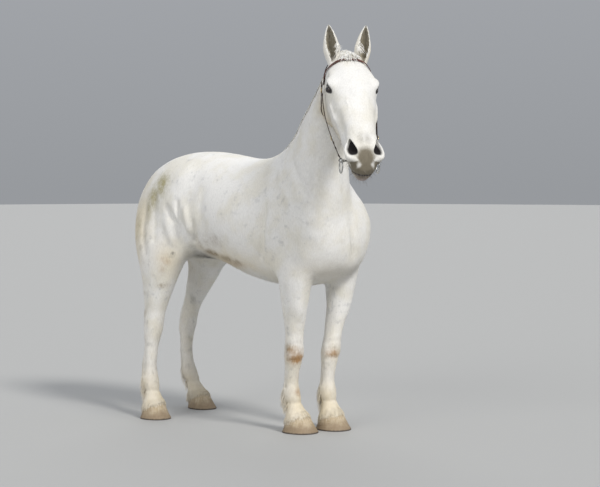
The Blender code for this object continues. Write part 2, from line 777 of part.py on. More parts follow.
def build_tail():
    rows = flow([(i, *row) for i, row in enumerate(TAIL)], 17)
    middles = [at(*row[1:4]) for row in rows]
    bm = bmesh.new()
    rings = []
    for i, row in enumerate(rows):
        way = (middles[min(i + 1, len(rows) - 1)] - middles[max(i - 1, 0)]).normalized()
        across = at(0, 1, 0)
        rings.append(section(bm, middles[i], across, way.cross(across), row[4], row[5], 0.0, 2.0, 12))
    skin_over(bm, rings)
    pieces["tail"] = link("tail", bm, LONG_HAIR)
    boolean(pieces["tail"], whole)


build_mane()
build_forelock()
build_tail()

# ---------------------------------------------------------------- bridle
surface = BVHTree.FromObject(whole, bpy.context.evaluated_depsgraph_get())
STRAP_STEP = 0.020
RING_RADIUS, RING_WIRE = 0.036, 0.0045
BIT_AT = (0.706, -0.160)         # down and out, where the mouthpiece crosses the mouth
RING_AT = (0.720, -0.193, 0.106)
LIP_GAP = 0.002
# distance from its middle and radius, along one half of the mouthpiece
MOUTHPIECE = (
    (0.0, 0.0065),
    (0.089, 0.0070),
    (0.097, 0.0105),
    (0.106, 0.0120),
    (0.115, 0.0100),
    (0.119, 0.0050),
)


def through(points, spacing):
    """Evenly spaced points on a smooth line through the given ones."""
    fine = []
    ends = [2 * points[0] - points[1], *points, 2 * points[-1] - points[-2]]
    for a, b, c, d in zip(ends, ends[1:], ends[2:], ends[3:]):
        for step in range(20):
            t = step / 20
            square, cube = 2 * a - 5 * b + 4 * c - d, 3 * b - a - 3 * c + d
            fine.append(0.5 * (2 * b + (c - a) * t + square * t * t + cube * t**3))
    fine.append(points[-1])
    lengths = np.cumsum([0.0] + [(q - p).length for p, q in zip(fine, fine[1:])])
    places_along = np.linspace(0, lengths[-1], max(3, round(lengths[-1] / spacing) + 1))
    return [Vector([np.interp(s, lengths, [p[k] for p in fine]) for k in range(3)]) for s in places_along]


def lie_on(line, clear, snug):
    """Moves a line of points off the body. A snug one comes down onto it as well."""
    facings = []
    for i, point in enumerate(line):
        near, normal, _, _ = surface.find_nearest(point)
        if snug or (point - near).dot(normal) < clear:
            line[i] = near + normal * clear
        facings.append(normal)
    return facings


def smoothed(line):
    middle = [(a + 2 * b + c) / 4 for a, b, c in zip(line, line[1:], line[2:])]
    return [line[0], *middle, line[-1]]


def strap(name, guide, width, thickness, lift, snug=False):
    """A flat strap over the head, its guide given as down, out, left."""
    line = through([face(*point) for point in guide], STRAP_STEP)
    clear = lift + thickness / 2
    for _ in range(3):
        lie_on(line, clear, snug)
        for _ in range(4):
            line = smoothed(line)
    facings = lie_on(line, clear, False)
    for _ in range(3):
        facings = smoothed(facings)
    bm = bmesh.new()
    rings = []
    for i, point in enumerate(line):
        way = (line[min(i + 1, len(line) - 1)] - line[max(i - 1, 0)]).normalized()
        out = (facings[i] - way * facings[i].dot(way)).normalized()
        flat = way.cross(out)
        corners = ((-0.5, -0.5), (0.5, -0.5), (0.5, 0.5), (-0.5, 0.5))
        rings.append([bm.verts.new(point + flat * (a * width) + out * (b * thickness)) for a, b in corners])
    skin_over(bm, rings)
    pieces[name] = link(name, bm, LEATHER)
    boolean(pieces[name], whole)


def axis_turn(centre, axis):
    """The matrix that stands something built along Z at a centre, along an axis."""
    return Matrix.Translation(centre) @ axis.to_track_quat("Z", "Y").to_matrix().to_4x4()


def hoop(name, centre, wire, collection=HORSE):
    """A round ring of round wire, its plane along the head's side."""
    bpy.ops.mesh.primitive_torus_add(
        major_radius=RING_RADIUS, minor_radius=wire, major_segments=20, minor_segments=6
    )
    made = bpy.context.object
    made.name = name
    for home in made.users_collection:
        home.objects.unlink(made)
    collection.objects.link(made)
    made.data.transform(axis_turn(centre, FACE_LEFT))
    made.data.materials.append(STEEL)
    return made


def bar(name, grown, collection=HORSE):
    """The mouthpiece, turned from its profile."""
    half = [(left, radius + grown) for left, radius in MOUTHPIECE]
    profile = [(-left, radius) for left, radius in half[::-1]] + half[1:]
    profile = [(profile[0][0], 0.0), *profile, (profile[-1][0], 0.0)]
    bm = bmesh.new()
    verts = [bm.verts.new((radius, 0, left)) for left, radius in profile]
    for first, second in zip(verts, verts[1:]):
        bm.edges.new((first, second))
    made = link(name, bm, STEEL, collection)
    turn = made.modifiers.new("turn", "SCREW")
    turn.steps = turn.render_steps = 10
    turn.use_merge_vertices = True
    turn.merge_threshold = 1e-5
    settle(made)
    bm = bmesh.new()
    bm.from_mesh(made.data)
    bmesh.ops.recalc_face_normals(bm, faces=bm.faces)
    bm.to_mesh(made.data)
    bm.free()
    made.data.transform(axis_turn(face(*BIT_AT), FACE_LEFT))
    return made


def mirrored(half):
    """A strap's guide points on the right half, carried over the middle to the left."""
    return half + [(down, out, -left) for down, out, left in half[-2::-1]]


# each strap's guide: down the face, out of it, and to its left
CROWNPIECE = (
    (0.165, -0.128, -0.150),
    (0.105, -0.112, -0.130),
    (0.050, -0.104, -0.105),
    (-0.005, -0.094, -0.065),
    (-0.030, -0.085, 0.0),
)
BROWBAND = (
    (0.134, -0.118, -0.148),
    (0.108, -0.050, -0.125),
    (0.104, 0.005, -0.075),
    (0.105, 0.022, 0.0),
)
THROATLATCH = (
    (0.145, -0.134, -0.143),
    (0.180, -0.230, -0.142),
    (0.215, -0.320, -0.115),
    (0.250, -0.375, -0.050),
    (0.258, -0.385, 0.0),
)
CHEEKPIECE = (
    (0.150, -0.118, 0.150),
    (0.252, -0.152, 0.156),
    (0.360, -0.182, 0.152),
    (0.480, -0.190, 0.137),
    (0.600, -0.184, 0.120),
    (0.675, -0.178, 0.107),
)


def build_straps():
    strap("crownpiece", mirrored([*CROWNPIECE]), 0.028, 0.0045, 0.0005, snug=True)
    crown_room = swollen(pieces["crownpiece"], "crown_room")
    strap("browband", mirrored([*BROWBAND]), 0.016, 0.0035, 0.0065, snug=True)
    strap("throatlatch", mirrored([*THROATLATCH]), 0.012, 0.0030, 0.0010)
    for name in ("browband", "throatlatch"):
        boolean(pieces[name], crown_room)
    for side, which in ((-1, "right"), (1, "left")):
        name = f"cheekpiece_{which}"
        strap(name, [(down, out, left * side) for down, out, left in CHEEKPIECE], 0.016, 0.0030, 0.0010)
        boolean(pieces[name], crown_room)


def build_bit():
    """A loose-ring snaffle: its mouthpiece crosses the mouth, and a ring hangs in each of its ends."""
    pieces["bit_mouthpiece"] = bar("bit_mouthpiece", 0.0)
    for side, which in ((-1, "right"), (1, "left")):
        ring_at = face(RING_AT[0], RING_AT[1], RING_AT[2] * side)
        pieces[f"bit_ring_{which}"] = hoop(f"bit_ring_{which}", ring_at, RING_WIRE)
        ring_room = hide(hoop(f"ring_{which}_room", ring_at, RING_WIRE + 2 * GAP, CUTTERS))
        boolean(pieces["bit_mouthpiece"], ring_room)
    boolean(pieces["head"], hide(bar("mouthpiece_room", 2 * GAP, CUTTERS)))
    lips = box_cutter("lips", face(0.785, -0.151), face_way(1, 0.02), FACE_OUT, 0.140, 0.24, LIP_GAP)
    boolean(pieces["head"], lips)


build_straps()
build_bit()


# ---------------------------------------------------------------- place on the ground
def put_in_place():
    """The model's box is centred over the origin and its hooves stand on z = 0."""
    corners = np.concatenate([places(piece.data) for piece in pieces.values()])
    middle = (corners.min(axis=0) + corners.max(axis=0)) / 2
    place = Vector((-middle[0], -middle[1], -corners[:, 2].min()))
    for made in [*HORSE.objects, *CUTTERS.objects]:
        made.data.transform(Matrix.Translation(place))
    return place


PLACE = put_in_place()
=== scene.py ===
import math

import bmesh
import bpy
import numpy as np
from mathutils import Matrix, Vector
from mathutils.bvhtree import BVHTree


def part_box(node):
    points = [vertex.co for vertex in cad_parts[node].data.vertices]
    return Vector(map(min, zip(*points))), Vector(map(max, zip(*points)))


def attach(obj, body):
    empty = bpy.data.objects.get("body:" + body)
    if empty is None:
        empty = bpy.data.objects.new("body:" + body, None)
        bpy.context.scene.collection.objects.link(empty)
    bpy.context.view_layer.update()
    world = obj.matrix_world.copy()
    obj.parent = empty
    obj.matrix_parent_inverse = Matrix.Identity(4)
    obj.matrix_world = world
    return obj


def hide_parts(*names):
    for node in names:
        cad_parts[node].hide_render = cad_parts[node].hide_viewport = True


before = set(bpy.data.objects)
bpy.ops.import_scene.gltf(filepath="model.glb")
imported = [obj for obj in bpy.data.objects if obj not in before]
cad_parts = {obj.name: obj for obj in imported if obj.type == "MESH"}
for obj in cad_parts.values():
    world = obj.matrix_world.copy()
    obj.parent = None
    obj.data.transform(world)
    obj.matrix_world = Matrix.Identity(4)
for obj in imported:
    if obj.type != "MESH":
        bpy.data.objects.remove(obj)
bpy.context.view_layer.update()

# ---- Where the horse stands ----
# A heavy draught horse, 1.79 m at the withers, with its head raised and turned to its right.
# Every place on it is given as the horse feels it: forward, left and up, or down, out and left
# on its face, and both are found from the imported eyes.
HEAD_PITCH, HEAD_YAW = math.radians(38), math.radians(35.5)
SIDES = ((-1, "right"), (1, "left"))


def centre_of(node):
    """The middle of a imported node."""
    low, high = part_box(node)
    return (low + high) / 2


def way(forward, left, up):
    return Vector((left, -forward, up))


FACE_LEVEL = way(math.cos(HEAD_YAW), -math.sin(HEAD_YAW), 0)
FACE_DOWN = FACE_LEVEL * math.sin(HEAD_PITCH) - way(0, 0, math.cos(HEAD_PITCH))
FACE_OUT = FACE_LEVEL * math.cos(HEAD_PITCH) + way(0, 0, math.sin(HEAD_PITCH))
FACE_LEFT = way(math.sin(HEAD_YAW), math.cos(HEAD_YAW), 0)


def face_way(down, out, left=0.0):
    return FACE_DOWN * down + FACE_OUT * out + FACE_LEFT * left


EYE_AT = {side: centre_of(f"eye_{which}") for side, which in SIDES}
POLL = (EYE_AT[-1] + EYE_AT[1]) / 2 - face_way(0.262, -0.06)
ORIGIN = POLL - way(1.014, -0.314, 2.314)


def at(forward, left, up):
    return ORIGIN + way(forward, left, up)


def face(down, out, left=0.0):
    return POLL + face_way(down, out, left)


# ---- The camera, the lights and the floor ----
# The horse is seen from in front of its right side, a little below its own eye level, on a
# plain pale floor under one broad soft light, a fill and an even sky.
CAMERA_AWAY, CAMERA_AZIMUTH, CAMERA_HEIGHT = 9.0, math.radians(-47), 1.48
CAMERA_TILT, CAMERA_LENS = math.radians(1.98), 87.6
FLOOR_REACH = 150.0


def link(name, data):
    made = bpy.data.objects.new(name, data)
    bpy.context.scene.collection.objects.link(made)
    return made


camera = link("camera", bpy.data.cameras.new("camera"))
camera.data.lens = CAMERA_LENS
hoof = centre_of("fore_hoof_right")
camera.location = (
    hoof.x + CAMERA_AWAY * math.sin(CAMERA_AZIMUTH),
    hoof.y + 0.008 - CAMERA_AWAY * math.cos(CAMERA_AZIMUTH),
    CAMERA_HEIGHT,
)
camera.rotation_euler = (math.pi / 2 - CAMERA_TILT, 0, CAMERA_AZIMUTH)
bpy.context.scene.camera = camera


class Nodes:
    """A material's nodes, made one call at a time."""

    def __init__(self, name):
        self.material = bpy.data.materials.new(name)
        self.material.use_nodes = True
        self.tree = self.material.node_tree
        self.shader = self.tree.nodes["Principled BSDF"]
        self.shader.inputs["Specular IOR Level"].default_value = 0.4

    def add(self, kind, settings=None, **inputs):
        node = self.tree.nodes.new("ShaderNode" + kind)
        for key, value in (settings or {}).items():
            if key == "ramp":
                stops = node.color_ramp.elements
                while len(stops) < len(value):
                    stops.new(0.5)
                for stop, (place, colour) in zip(stops, value):
                    stop.position, stop.color = place, (*colour, 1)
            else:
                setattr(node, key, value)
        for key, value in inputs.items():
            self.feed(node.inputs[int(key[1:]) if key[0] == "i" and key[1:].isdigit() else key], value)
        return node

    def feed(self, socket, value):
        if isinstance(value, Value):
            value = value.socket
        if isinstance(value, bpy.types.NodeSocket):
            self.tree.links.new(value, socket)
        elif isinstance(value, (tuple, list, Vector)) and socket.type == "RGBA":
            socket.default_value = (*value, 1)
        else:
            socket.default_value = value

    def finish(self, **inputs):
        for key, value in inputs.items():
            self.feed(self.shader.inputs[key.replace("_", " ")], value)
        return self.material


class Value:
    """A number that varies over a surface. Its operators add Math nodes."""

    def __init__(self, nodes, socket):
        self.nodes, self.socket = nodes, socket

    def math(self, operation, *others):
        inputs = {f"i{i}": value for i, value in enumerate((self, *others))}
        node = self.nodes.add("Math", {"operation": operation}, **inputs)
        return Value(self.nodes, node.outputs[0])

    def __add__(self, other):
        return self.math("ADD", other)

    def __sub__(self, other):
        return self.math("SUBTRACT", other)

    def __mul__(self, other):
        return self.math("MULTIPLY", other)

    def __truediv__(self, other):
        return self.math("DIVIDE", other)

    def __rsub__(self, other):
        return self * -1 + other

    __radd__, __rmul__ = __add__, __mul__


def plain(name, colour, roughness):
    nodes = Nodes(name)
    return nodes.finish(Base_Color=colour, Roughness=roughness)


bm = bmesh.new()
bmesh.ops.create_grid(bm, x_segments=1, y_segments=1, size=FLOOR_REACH)
floor = link("floor", bpy.data.meshes.new("floor"))
bm.to_mesh(floor.data)
bm.free()
floor.data.materials.append(plain("pale_floor", (0.43, 0.43, 0.42), 0.9))

world = bpy.data.worlds.new("studio")
world.use_nodes = True
background = world.node_tree.nodes["Background"]
background.inputs["Strength"].default_value = 0.62
sky = world.node_tree.nodes.new("ShaderNodeValToRGB")
sky.color_ramp.elements[0].color = (0.5, 0.52, 0.55, 1)
sky.color_ramp.elements[1].color = (0.8, 0.83, 0.89, 1)
sky.color_ramp.elements[1].position = 0.55
direction = world.node_tree.nodes.new("ShaderNodeTexCoord")
parts = world.node_tree.nodes.new("ShaderNodeSeparateXYZ")
world.node_tree.links.new(direction.outputs["Generated"], parts.inputs[0])
world.node_tree.links.new(parts.outputs["Z"], sky.inputs[0])
world.node_tree.links.new(sky.outputs["Color"], background.inputs["Color"])
bpy.context.scene.world = world
bpy.context.scene.view_settings.view_transform = "Standard"


def lamp(name, place, spread, power, colour):
    """A wide soft light that shines from its place towards the horse, the same all over the floor."""
    made = link(name, bpy.data.lights.new(name, "SUN"))
    made.data.angle, made.data.energy, made.data.color = math.radians(spread), power, colour
    made.location = place
    made.rotation_euler = (Vector((0, 0, 1.2)) - Vector(place)).to_track_quat("-Z", "Y").to_euler()


lamp("key_light", (-1.0, -6.5, 6.6), 14, 2.2, (1.0, 0.98, 0.95))
lamp("side_light", (-7.0, -0.5, 4.0), 40, 0.85, (1.0, 0.99, 0.97))
lamp("back_light", (4.5, 5.0, 5.5), 40, 0.55, (0.94, 0.97, 1.0))

# ---- The skin ----
# One skin over all the flesh, from the muzzle to the coronets, ears included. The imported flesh
# is fused and smoothed, its head and lower legs get a finer mesh, and then muscles, folds, veins,
# lids, nostrils and lips are worked into it.
FLESH = ["head", "neck", "trunk"]
for _, which in SIDES:
    FLESH += [f"{part}_{which}" for part in ("forearm", "fore_cannon", "gaskin", "hind_cannon")]
SKIN_VOXEL = 0.0155
COAT_DEPTH = 0.003
BIT_TUNNEL = 0.012
# height, forward and left of the middle of each leg, from its top down to the hoof
LEGS = {
    "fore_right": (
        (0.97, 0.41, -0.185), (0.5, 0.432, -0.146), (0.245, 0.392, -0.126), (0.03, 0.462, -0.111),
    ),
    "fore_left": (
        (0.97, 0.44, 0.165), (0.5, 0.495, 0.124), (0.245, 0.477, 0.113), (0.03, 0.532, 0.117),
    ),
    "hind_right": (
        (1.05, -0.64, -0.278), (0.61, -0.7, -0.3), (0.245, -0.69, -0.335), (0.03, -0.618, -0.348),
    ),
    "hind_left": (
        (1.05, -0.665, 0.16), (0.61, -0.85, 0.15), (0.245, -0.845, 0.158), (0.03, -0.725, 0.172),
    ),
}
# degrees each hoof points outwards, to the left where it is positive
TOE_OUT = {"fore_right": 2, "fore_left": -4, "hind_right": 2, "hind_left": -16}
# half length and half width on the ground, and the same at the coronet
HOOF = {"fore": (0.114, 0.107, 0.078, 0.083), "hind": (0.103, 0.096, 0.075, 0.078)}
CORONET_HEIGHT, CORONET_SLOPE = 0.088, math.radians(24)


def flow(keys, count):
    """Rows blended smoothly through the key rows, whose first column rises or falls steadily."""
    keys = np.array(sorted(keys), float)
    x = keys[:, 0]
    slopes = np.gradient(keys, x, axis=0)
    value = np.linspace(x[0], x[-1], count)
    i = np.clip(np.searchsorted(x, value) - 1, 0, len(x) - 2)
    span = (x[i + 1] - x[i])[:, None]
    t = (value - x[i])[:, None] / span
    ends = (2 * t**3 - 3 * t**2 + 1) * keys[i] + (3 * t**2 - 2 * t**3) * keys[i + 1]
    return ends + span * ((t**3 - 2 * t**2 + t) * slopes[i] + (t**3 - t**2) * slopes[i + 1])


def loft(bm, rings):
    """Draws the first ring, extrudes each further one from it, and caps both ends."""
    verts = [bm.verts.new(point) for point in rings[0]]
    edges = [bm.edges.new(pair) for pair in zip(verts, verts[1:] + verts[:1])]
    bm.faces.new(verts)
    for ring in rings[1:]:
        grown = bmesh.ops.extrude_edge_only(bm, edges=edges)["geom"]
        new = {part for part in grown if isinstance(part, bmesh.types.BMVert)}
        verts = [next(e.other_vert(v) for e in v.link_edges if e.other_vert(v) in new) for v in verts]
        edges = [part for part in grown if isinstance(part, bmesh.types.BMEdge)]
        edges = [edge for edge in edges if new.issuperset(edge.verts)]
        for vert, point in zip(verts, ring):
            vert.co = point
    bm.faces.new(verts)
    bmesh.ops.recalc_face_normals(bm, faces=bm.faces)


def superellipse(half_length, half_width, taper, power, count):
    """Points (along, across) of an outline that lies between an oval and a box."""
    turn = np.linspace(0, 2 * math.pi, count, endpoint=False)
    along = np.sign(np.cos(turn)) * np.abs(np.cos(turn)) ** (2 / power)
    across = np.sign(np.sin(turn)) * np.abs(np.sin(turn)) ** (2 / power) * (1 + taper * along)
    return np.stack([half_length * along, half_width * across], 1)


class Leg:
    """Places and directions on one leg."""

    def __init__(self, name):
        self.name = name
        self.side = -1 if name.endswith("right") else 1
        self.line = flow(LEGS[name], 160)
        turn = math.radians(TOE_OUT[name])
        self.ahead = way(math.cos(turn), math.sin(turn), 0)
        self.across = way(-math.sin(turn), math.cos(turn), 0)

    def near(self, up, forward=0.0, outside=0.0):
        """A point by its height and its distance from the middle of the leg there."""
        middle = at(*(np.interp(up, self.line[:, 0], self.line[:, i]) for i in (1, 2)), up)
        return middle + self.ahead * forward + self.across * (outside * self.side)

    def coronet(self):
        """The middle of the coronet, the way up its slope, and the way its plane faces."""
        slope = self.ahead * math.cos(CORONET_SLOPE) + way(0, 0, math.sin(CORONET_SLOPE))
        return self.near(CORONET_HEIGHT, -0.012), slope, slope.cross(self.across).normalized()

    def locate(self, points):
        """Height, forward and outside of the leg's middle for each point, and which are on it."""
        horse = of_horse(points)
        up = np.clip(horse[:, 2], self.line[0, 0], self.line[-1, 0])
        away = horse[:, :2] - np.stack([np.interp(up, self.line[:, 0], self.line[:, i]) for i in (1, 2)], 1)
        ahead = away @ np.array([-self.ahead.y, self.ahead.x])
        outside = away @ np.array([-self.across.y, self.across.x]) * self.side
        return horse[:, 2], ahead, outside, (np.abs(away).max(1) < 0.13) & (horse[:, 2] < 1.0)


def applied(made):
    """The object's modifiers made real."""
    graph = bpy.context.evaluated_depsgraph_get()
    mesh = bpy.data.meshes.new_from_object(made.evaluated_get(graph))
    made.modifiers.clear()
    made.data = mesh
    return made


def places(mesh, what="co"):
    """A mesh's points, or their normals."""
    found = np.empty(len(mesh.vertices) * 3)
    mesh.vertices.foreach_get(what, found)
    return found.reshape(-1, 3)


def put(mesh, points):
    """Moves a mesh's points."""
    mesh.vertices.foreach_set("co", points.ravel())
    mesh.update()


def smoothstep(low, high, x):
    t = np.clip((x - low) / (high - low), 0, 1)
    return t * t * (3 - 2 * t)


def on_face(points):
    """Down, out and left on the face, for each point."""
    moved = points - np.array(POLL)
    return np.stack([moved @ np.array(v) for v in (FACE_DOWN, FACE_OUT, FACE_LEFT)], 1)


def of_horse(points):
    """Forward, left and up, for each point."""
    moved = points - np.array(ORIGIN)
    return np.stack([-moved[:, 1], moved[:, 0], moved[:, 2]], 1)


def head_share(points):
    """1 on the head, 0 on the body, with a soft edge behind the jaw."""
    down, out, _ = on_face(points).T
    behind = (points - np.array(POLL)) @ np.array(FACE_LEVEL)
    return smoothstep(-0.2, -0.12, behind) * smoothstep(-0.46, -0.4, out) * (points[:, 2] > 1.45)


def smooth(made, weights, iterations, levels=24):
    """Smooths a mesh, each point as strongly as its weight says."""
    group = made.vertex_groups.new(name="soft")
    steps = np.round(np.clip(weights, 0, 1) * levels).astype(int)
    for step in np.unique(steps):
        group.add(np.flatnonzero(steps == step).tolist(), step / levels, "REPLACE")
    soften = made.modifiers.new("soften", "SMOOTH")
    soften.factor, soften.iterations, soften.vertex_group = 0.5, iterations, "soft"
    applied(made)
    made.vertex_groups.clear()


def oval(bm, centre, axis, facing, length, width, depth):
    """An ellipsoid: half sizes along its axis, across facing and along facing."""
    along = axis.normalized()
    outward = (facing - along * along.dot(facing)).normalized()
    turn = Matrix((along, outward.cross(along), outward)).transposed().to_4x4()
    size = Matrix.Diagonal((length, width, depth, 1))
    whole = Matrix.Translation(centre) @ turn @ size
    bmesh.ops.create_icosphere(bm, subdivisions=3, radius=1, matrix=whole)


# the nostril's middle, the line from its top to its bottom, and the way it opens
NOSTRIL = {
    side: (
        face(0.706, -0.038, side * 0.074),
        face_way(1, -0.08, -0.26 * side).normalized(),
        face_way(0.16, 0.62, 0.72 * side).normalized(),
    )
    for side, _ in SIDES
}


def turned_to(facing):
    """The turn that carries straight up to a given way."""
    return facing.to_track_quat("Z", "Y").to_matrix().to_4x4()


def fused_flesh():
    """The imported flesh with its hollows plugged, fused to one even mesh and smoothed."""
    bm = bmesh.new()
    for name in FLESH + ["eye_right", "eye_left"]:
        bm.from_mesh(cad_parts[name].data)
    bmesh.ops.remove_doubles(bm, verts=bm.verts, dist=1e-5)
    # plugs fill the bit's tunnel, the mouth and the nostrils, which are worked in again more finely
    tunnel = Matrix.Translation(centre_of("bit_mouthpiece")) @ turned_to(FACE_LEFT)
    bmesh.ops.create_cone(
        bm, cap_ends=True, segments=16, radius1=BIT_TUNNEL, radius2=BIT_TUNNEL, depth=0.15, matrix=tunnel
    )
    oval(bm, face(0.775, -0.14), FACE_DOWN, FACE_OUT, 0.062, 0.058, 0.052)
    oval(bm, face(0.795, -0.172), FACE_DOWN, FACE_OUT, 0.046, 0.046, 0.036)
    for centre, along, facing in NOSTRIL.values():
        oval(bm, centre - facing * 0.012, along, facing, 0.06, 0.034, 0.022)
    # a stub carries each leg down into its hoof
    for name in LEGS:
        leg = Leg(name)
        middle, slope, facing = leg.coronet()
        _, _, length, width = HOOF[name.split("_")[0]]
        stub = superellipse(length - 0.003, width - 0.003, -0.04, 2.2, 24)
        loft(bm, [
            [middle - facing * drop + slope * a + leg.across * b for a, b in stub * share]
            for drop, share in ((-0.02, 0.85), (0.0, 1.0), (0.026, 1.02))
        ])
    skin = link("skin", bpy.data.meshes.new("skin"))
    bm.to_mesh(skin.data)
    bm.free()
    remesh = skin.modifiers.new("fuse", "REMESH")
    remesh.mode, remesh.voxel_size = "VOXEL", SKIN_VOXEL
    applied(skin)
    points = places(skin.data)
    up = points[:, 2]
    head = head_share(points)
    neck = smoothstep(1.75, 2.0, up)
    body = smoothstep(0.78, 1.12, up) * (1 - head) * (1 - 0.6 * neck)
    smooth(skin, 0.08 + 0.92 * body, 70)
    return skin


def refine(made, chosen, softening):
    """Halves the mesh's edges over the chosen vertices, and smooths what that makes."""
    bm = bmesh.new()
    bm.from_mesh(made.data)
    picked = chosen(places(made.data))
    edges = [edge for edge in bm.edges if picked[edge.verts[0].index] and picked[edge.verts[1].index]]
    bmesh.ops.subdivide_edges(bm, edges=edges, cuts=1, use_grid_fill=True)
    bm.to_mesh(made.data)
    bm.free()
    smooth(made, chosen(places(made.data)) * 1.0, softening)


def away_from(points, centre):
    """Each point's distance from a place."""
    return np.linalg.norm(points - np.array(centre), axis=1)


def close_parts(points):
    """The head, the feet and knees, and the folds of the flanks and elbows."""
    forward, left, up = of_horse(points).T
    flank = (forward > -0.46) & (forward < -0.2) & (up > 1.08) & (up < 1.5)
    elbow = (forward > 0.2) & (forward < 0.4) & (up > 0.98) & (up < 1.48)
    aside = np.abs(left) > 0.14
    return (head_share(points) > 0.5) | (up < 0.33) | ((flank | elbow) & aside)


def fine_parts(points):
    """The muzzle, and the eyes with their sockets."""
    muzzle = (on_face(points)[:, 0] > 0.63) & (head_share(points) > 0.9)
    eyes = np.minimum(away_from(points, EYE_AT[-1]), away_from(points, EYE_AT[1])) < 0.064
    return muzzle | eyes


def finest_parts(points):
    """The lids and the nostrils."""
    found = np.minimum(away_from(points, EYE_AT[-1]), away_from(points, EYE_AT[1])) < 0.039
    for centre, along, _ in NOSTRIL.values():
        moved = points - np.array(centre)
        found |= (np.abs(moved @ np.array(along)) < 0.056) & (away_from(points, centre) < 0.058)
    return found


skin = fused_flesh()
refine(skin, close_parts, 10)
refine(skin, fine_parts, 9)

# the ear is a shell, widest low down, open to the front: up it as a share of its length, its half
# width, the half angle it wraps through, and its wall
EAR_LENGTH = 0.195
EAR = (
    (-0.25, 0.03, 165, 0.008),
    (0.00, 0.042, 158, 0.0075),
    (0.2, 0.05, 140, 0.0062),
    (0.4, 0.048, 128, 0.0052),
    (0.6, 0.039, 120, 0.0046),
    (0.78, 0.027, 112, 0.0042),
    (0.92, 0.014, 105, 0.0038),
    (1.00, 0.005, 100, 0.003),
)


def ear_ways(side):
    """The ear's root, and the ways up it, out of its front and across it."""
    axis = face_way(-0.8, 0.56, 0.12 * side).normalized()
    front = FACE_LEVEL + FACE_LEFT * (0.1 * side)
    front = (front - axis * front.dot(axis)).normalized()
    return face(0.04, -0.042, side * 0.086), axis, front, axis.cross(front)


def add_ear(made, side, which):
    """Joins one ear's shell to the skin, and softens the bend at its root."""
    root, axis, front, sideways = ear_ways(side)
    rings = []
    for up, radius, spread, wall in flow(EAR, 44):
        middle = root + axis * (up * EAR_LENGTH) + front * (0.012 * up * up)
        sweep = np.radians(spread) * np.linspace(-1, 1, 25)
        ring = []
        for reach, angles in ((radius, sweep), (radius - wall, sweep[::-1])):
            for angle in angles:
                # the rim rolls inwards a little, and the shell's back is ribbed inside
                roll = 1 - 0.1 * (abs(angle) / math.radians(spread)) ** 6
                rib = 0.0012 * math.cos(6 * angle) * (reach < radius) * max(0.0, 1 - up)
                spot = sideways * math.sin(angle) - front * (0.8 * math.cos(angle))
                ring.append(middle + spot * (reach * roll + rib))
        rings.append(ring)
    bm = bmesh.new()
    loft(bm, rings)
    ear = link(f"ear_{which}_shell", bpy.data.meshes.new(f"ear_{which}_shell"))
    bm.to_mesh(ear.data)
    bm.free()
    union = made.modifiers.new("union", "BOOLEAN")
    union.operation, union.solver, union.object = "UNION", "MANIFOLD", ear
    applied(made)
    bpy.data.objects.remove(ear)
    points = places(made.data)
    moved = points - np.array(root)
    up = moved @ np.array(axis) / EAR_LENGTH
    aside = np.linalg.norm(moved - np.outer(up * EAR_LENGTH, np.array(axis)), axis=1)
    smooth(made, smoothstep(0.3, 0.12, up) * smoothstep(0.085, 0.06, aside) * (up > -0.5), 5)


for side, which in SIDES:
    add_ear(skin, side, which)
refine(skin, finest_parts, 2)


def curve(path, spacing):
    """Evenly spaced points on a smooth line through the given ones."""
    path = np.array(path, float)
    ends = np.vstack([2 * path[0] - path[1], path, 2 * path[-1] - path[-2]])
    t = np.linspace(0, 1, 20, endpoint=False)[:, None]
    fine = [
        0.5 * (2 * b + (c - a) * t + (2 * a - 5 * b + 4 * c - d) * t**2 + (3 * b - a - 3 * c + d) * t**3)
        for a, b, c, d in zip(ends, ends[1:], ends[2:], ends[3:])
    ]
    fine = np.vstack([*fine, path[-1:]])
    lengths = np.concatenate([[0], np.cumsum(np.linalg.norm(np.diff(fine, axis=0), axis=1))])
    steps = np.linspace(0, lengths[-1], max(3, round(lengths[-1] / spacing) + 1))
    return np.stack([np.interp(steps, lengths, column) for column in fine.T], 1)


def near_path(where, path, width):
    """1 on a smooth line through the path, fading a few widths away, and at the ends of a long one."""
    line = curve(path, max(width, 0.01))
    strength = np.zeros(len(where))
    close = ((where > line.min(0) - 3 * width) & (where < line.max(0) + 3 * width)).all(1)
    chosen = where[close]
    nearest, along = np.full(len(chosen), np.inf), np.zeros(len(chosen))
    for i, (a, b) in enumerate(zip(line, line[1:])):
        span = b - a
        share = np.clip((chosen - a) @ span / max(span @ span, 1e-12), 0, 1)
        away = ((chosen - a - share[:, None] * span) ** 2).sum(1)
        along = np.where(away < nearest, i + share, along)
        nearest = np.minimum(nearest, away)
    fade = 1.0
    if len(path) > 2:
        along = along / (len(line) - 1)
        fade = smoothstep(0, 0.3, along) * smoothstep(1, 0.7, along)
    strength[close] = np.exp(-nearest / width**2) * fade
    return strength


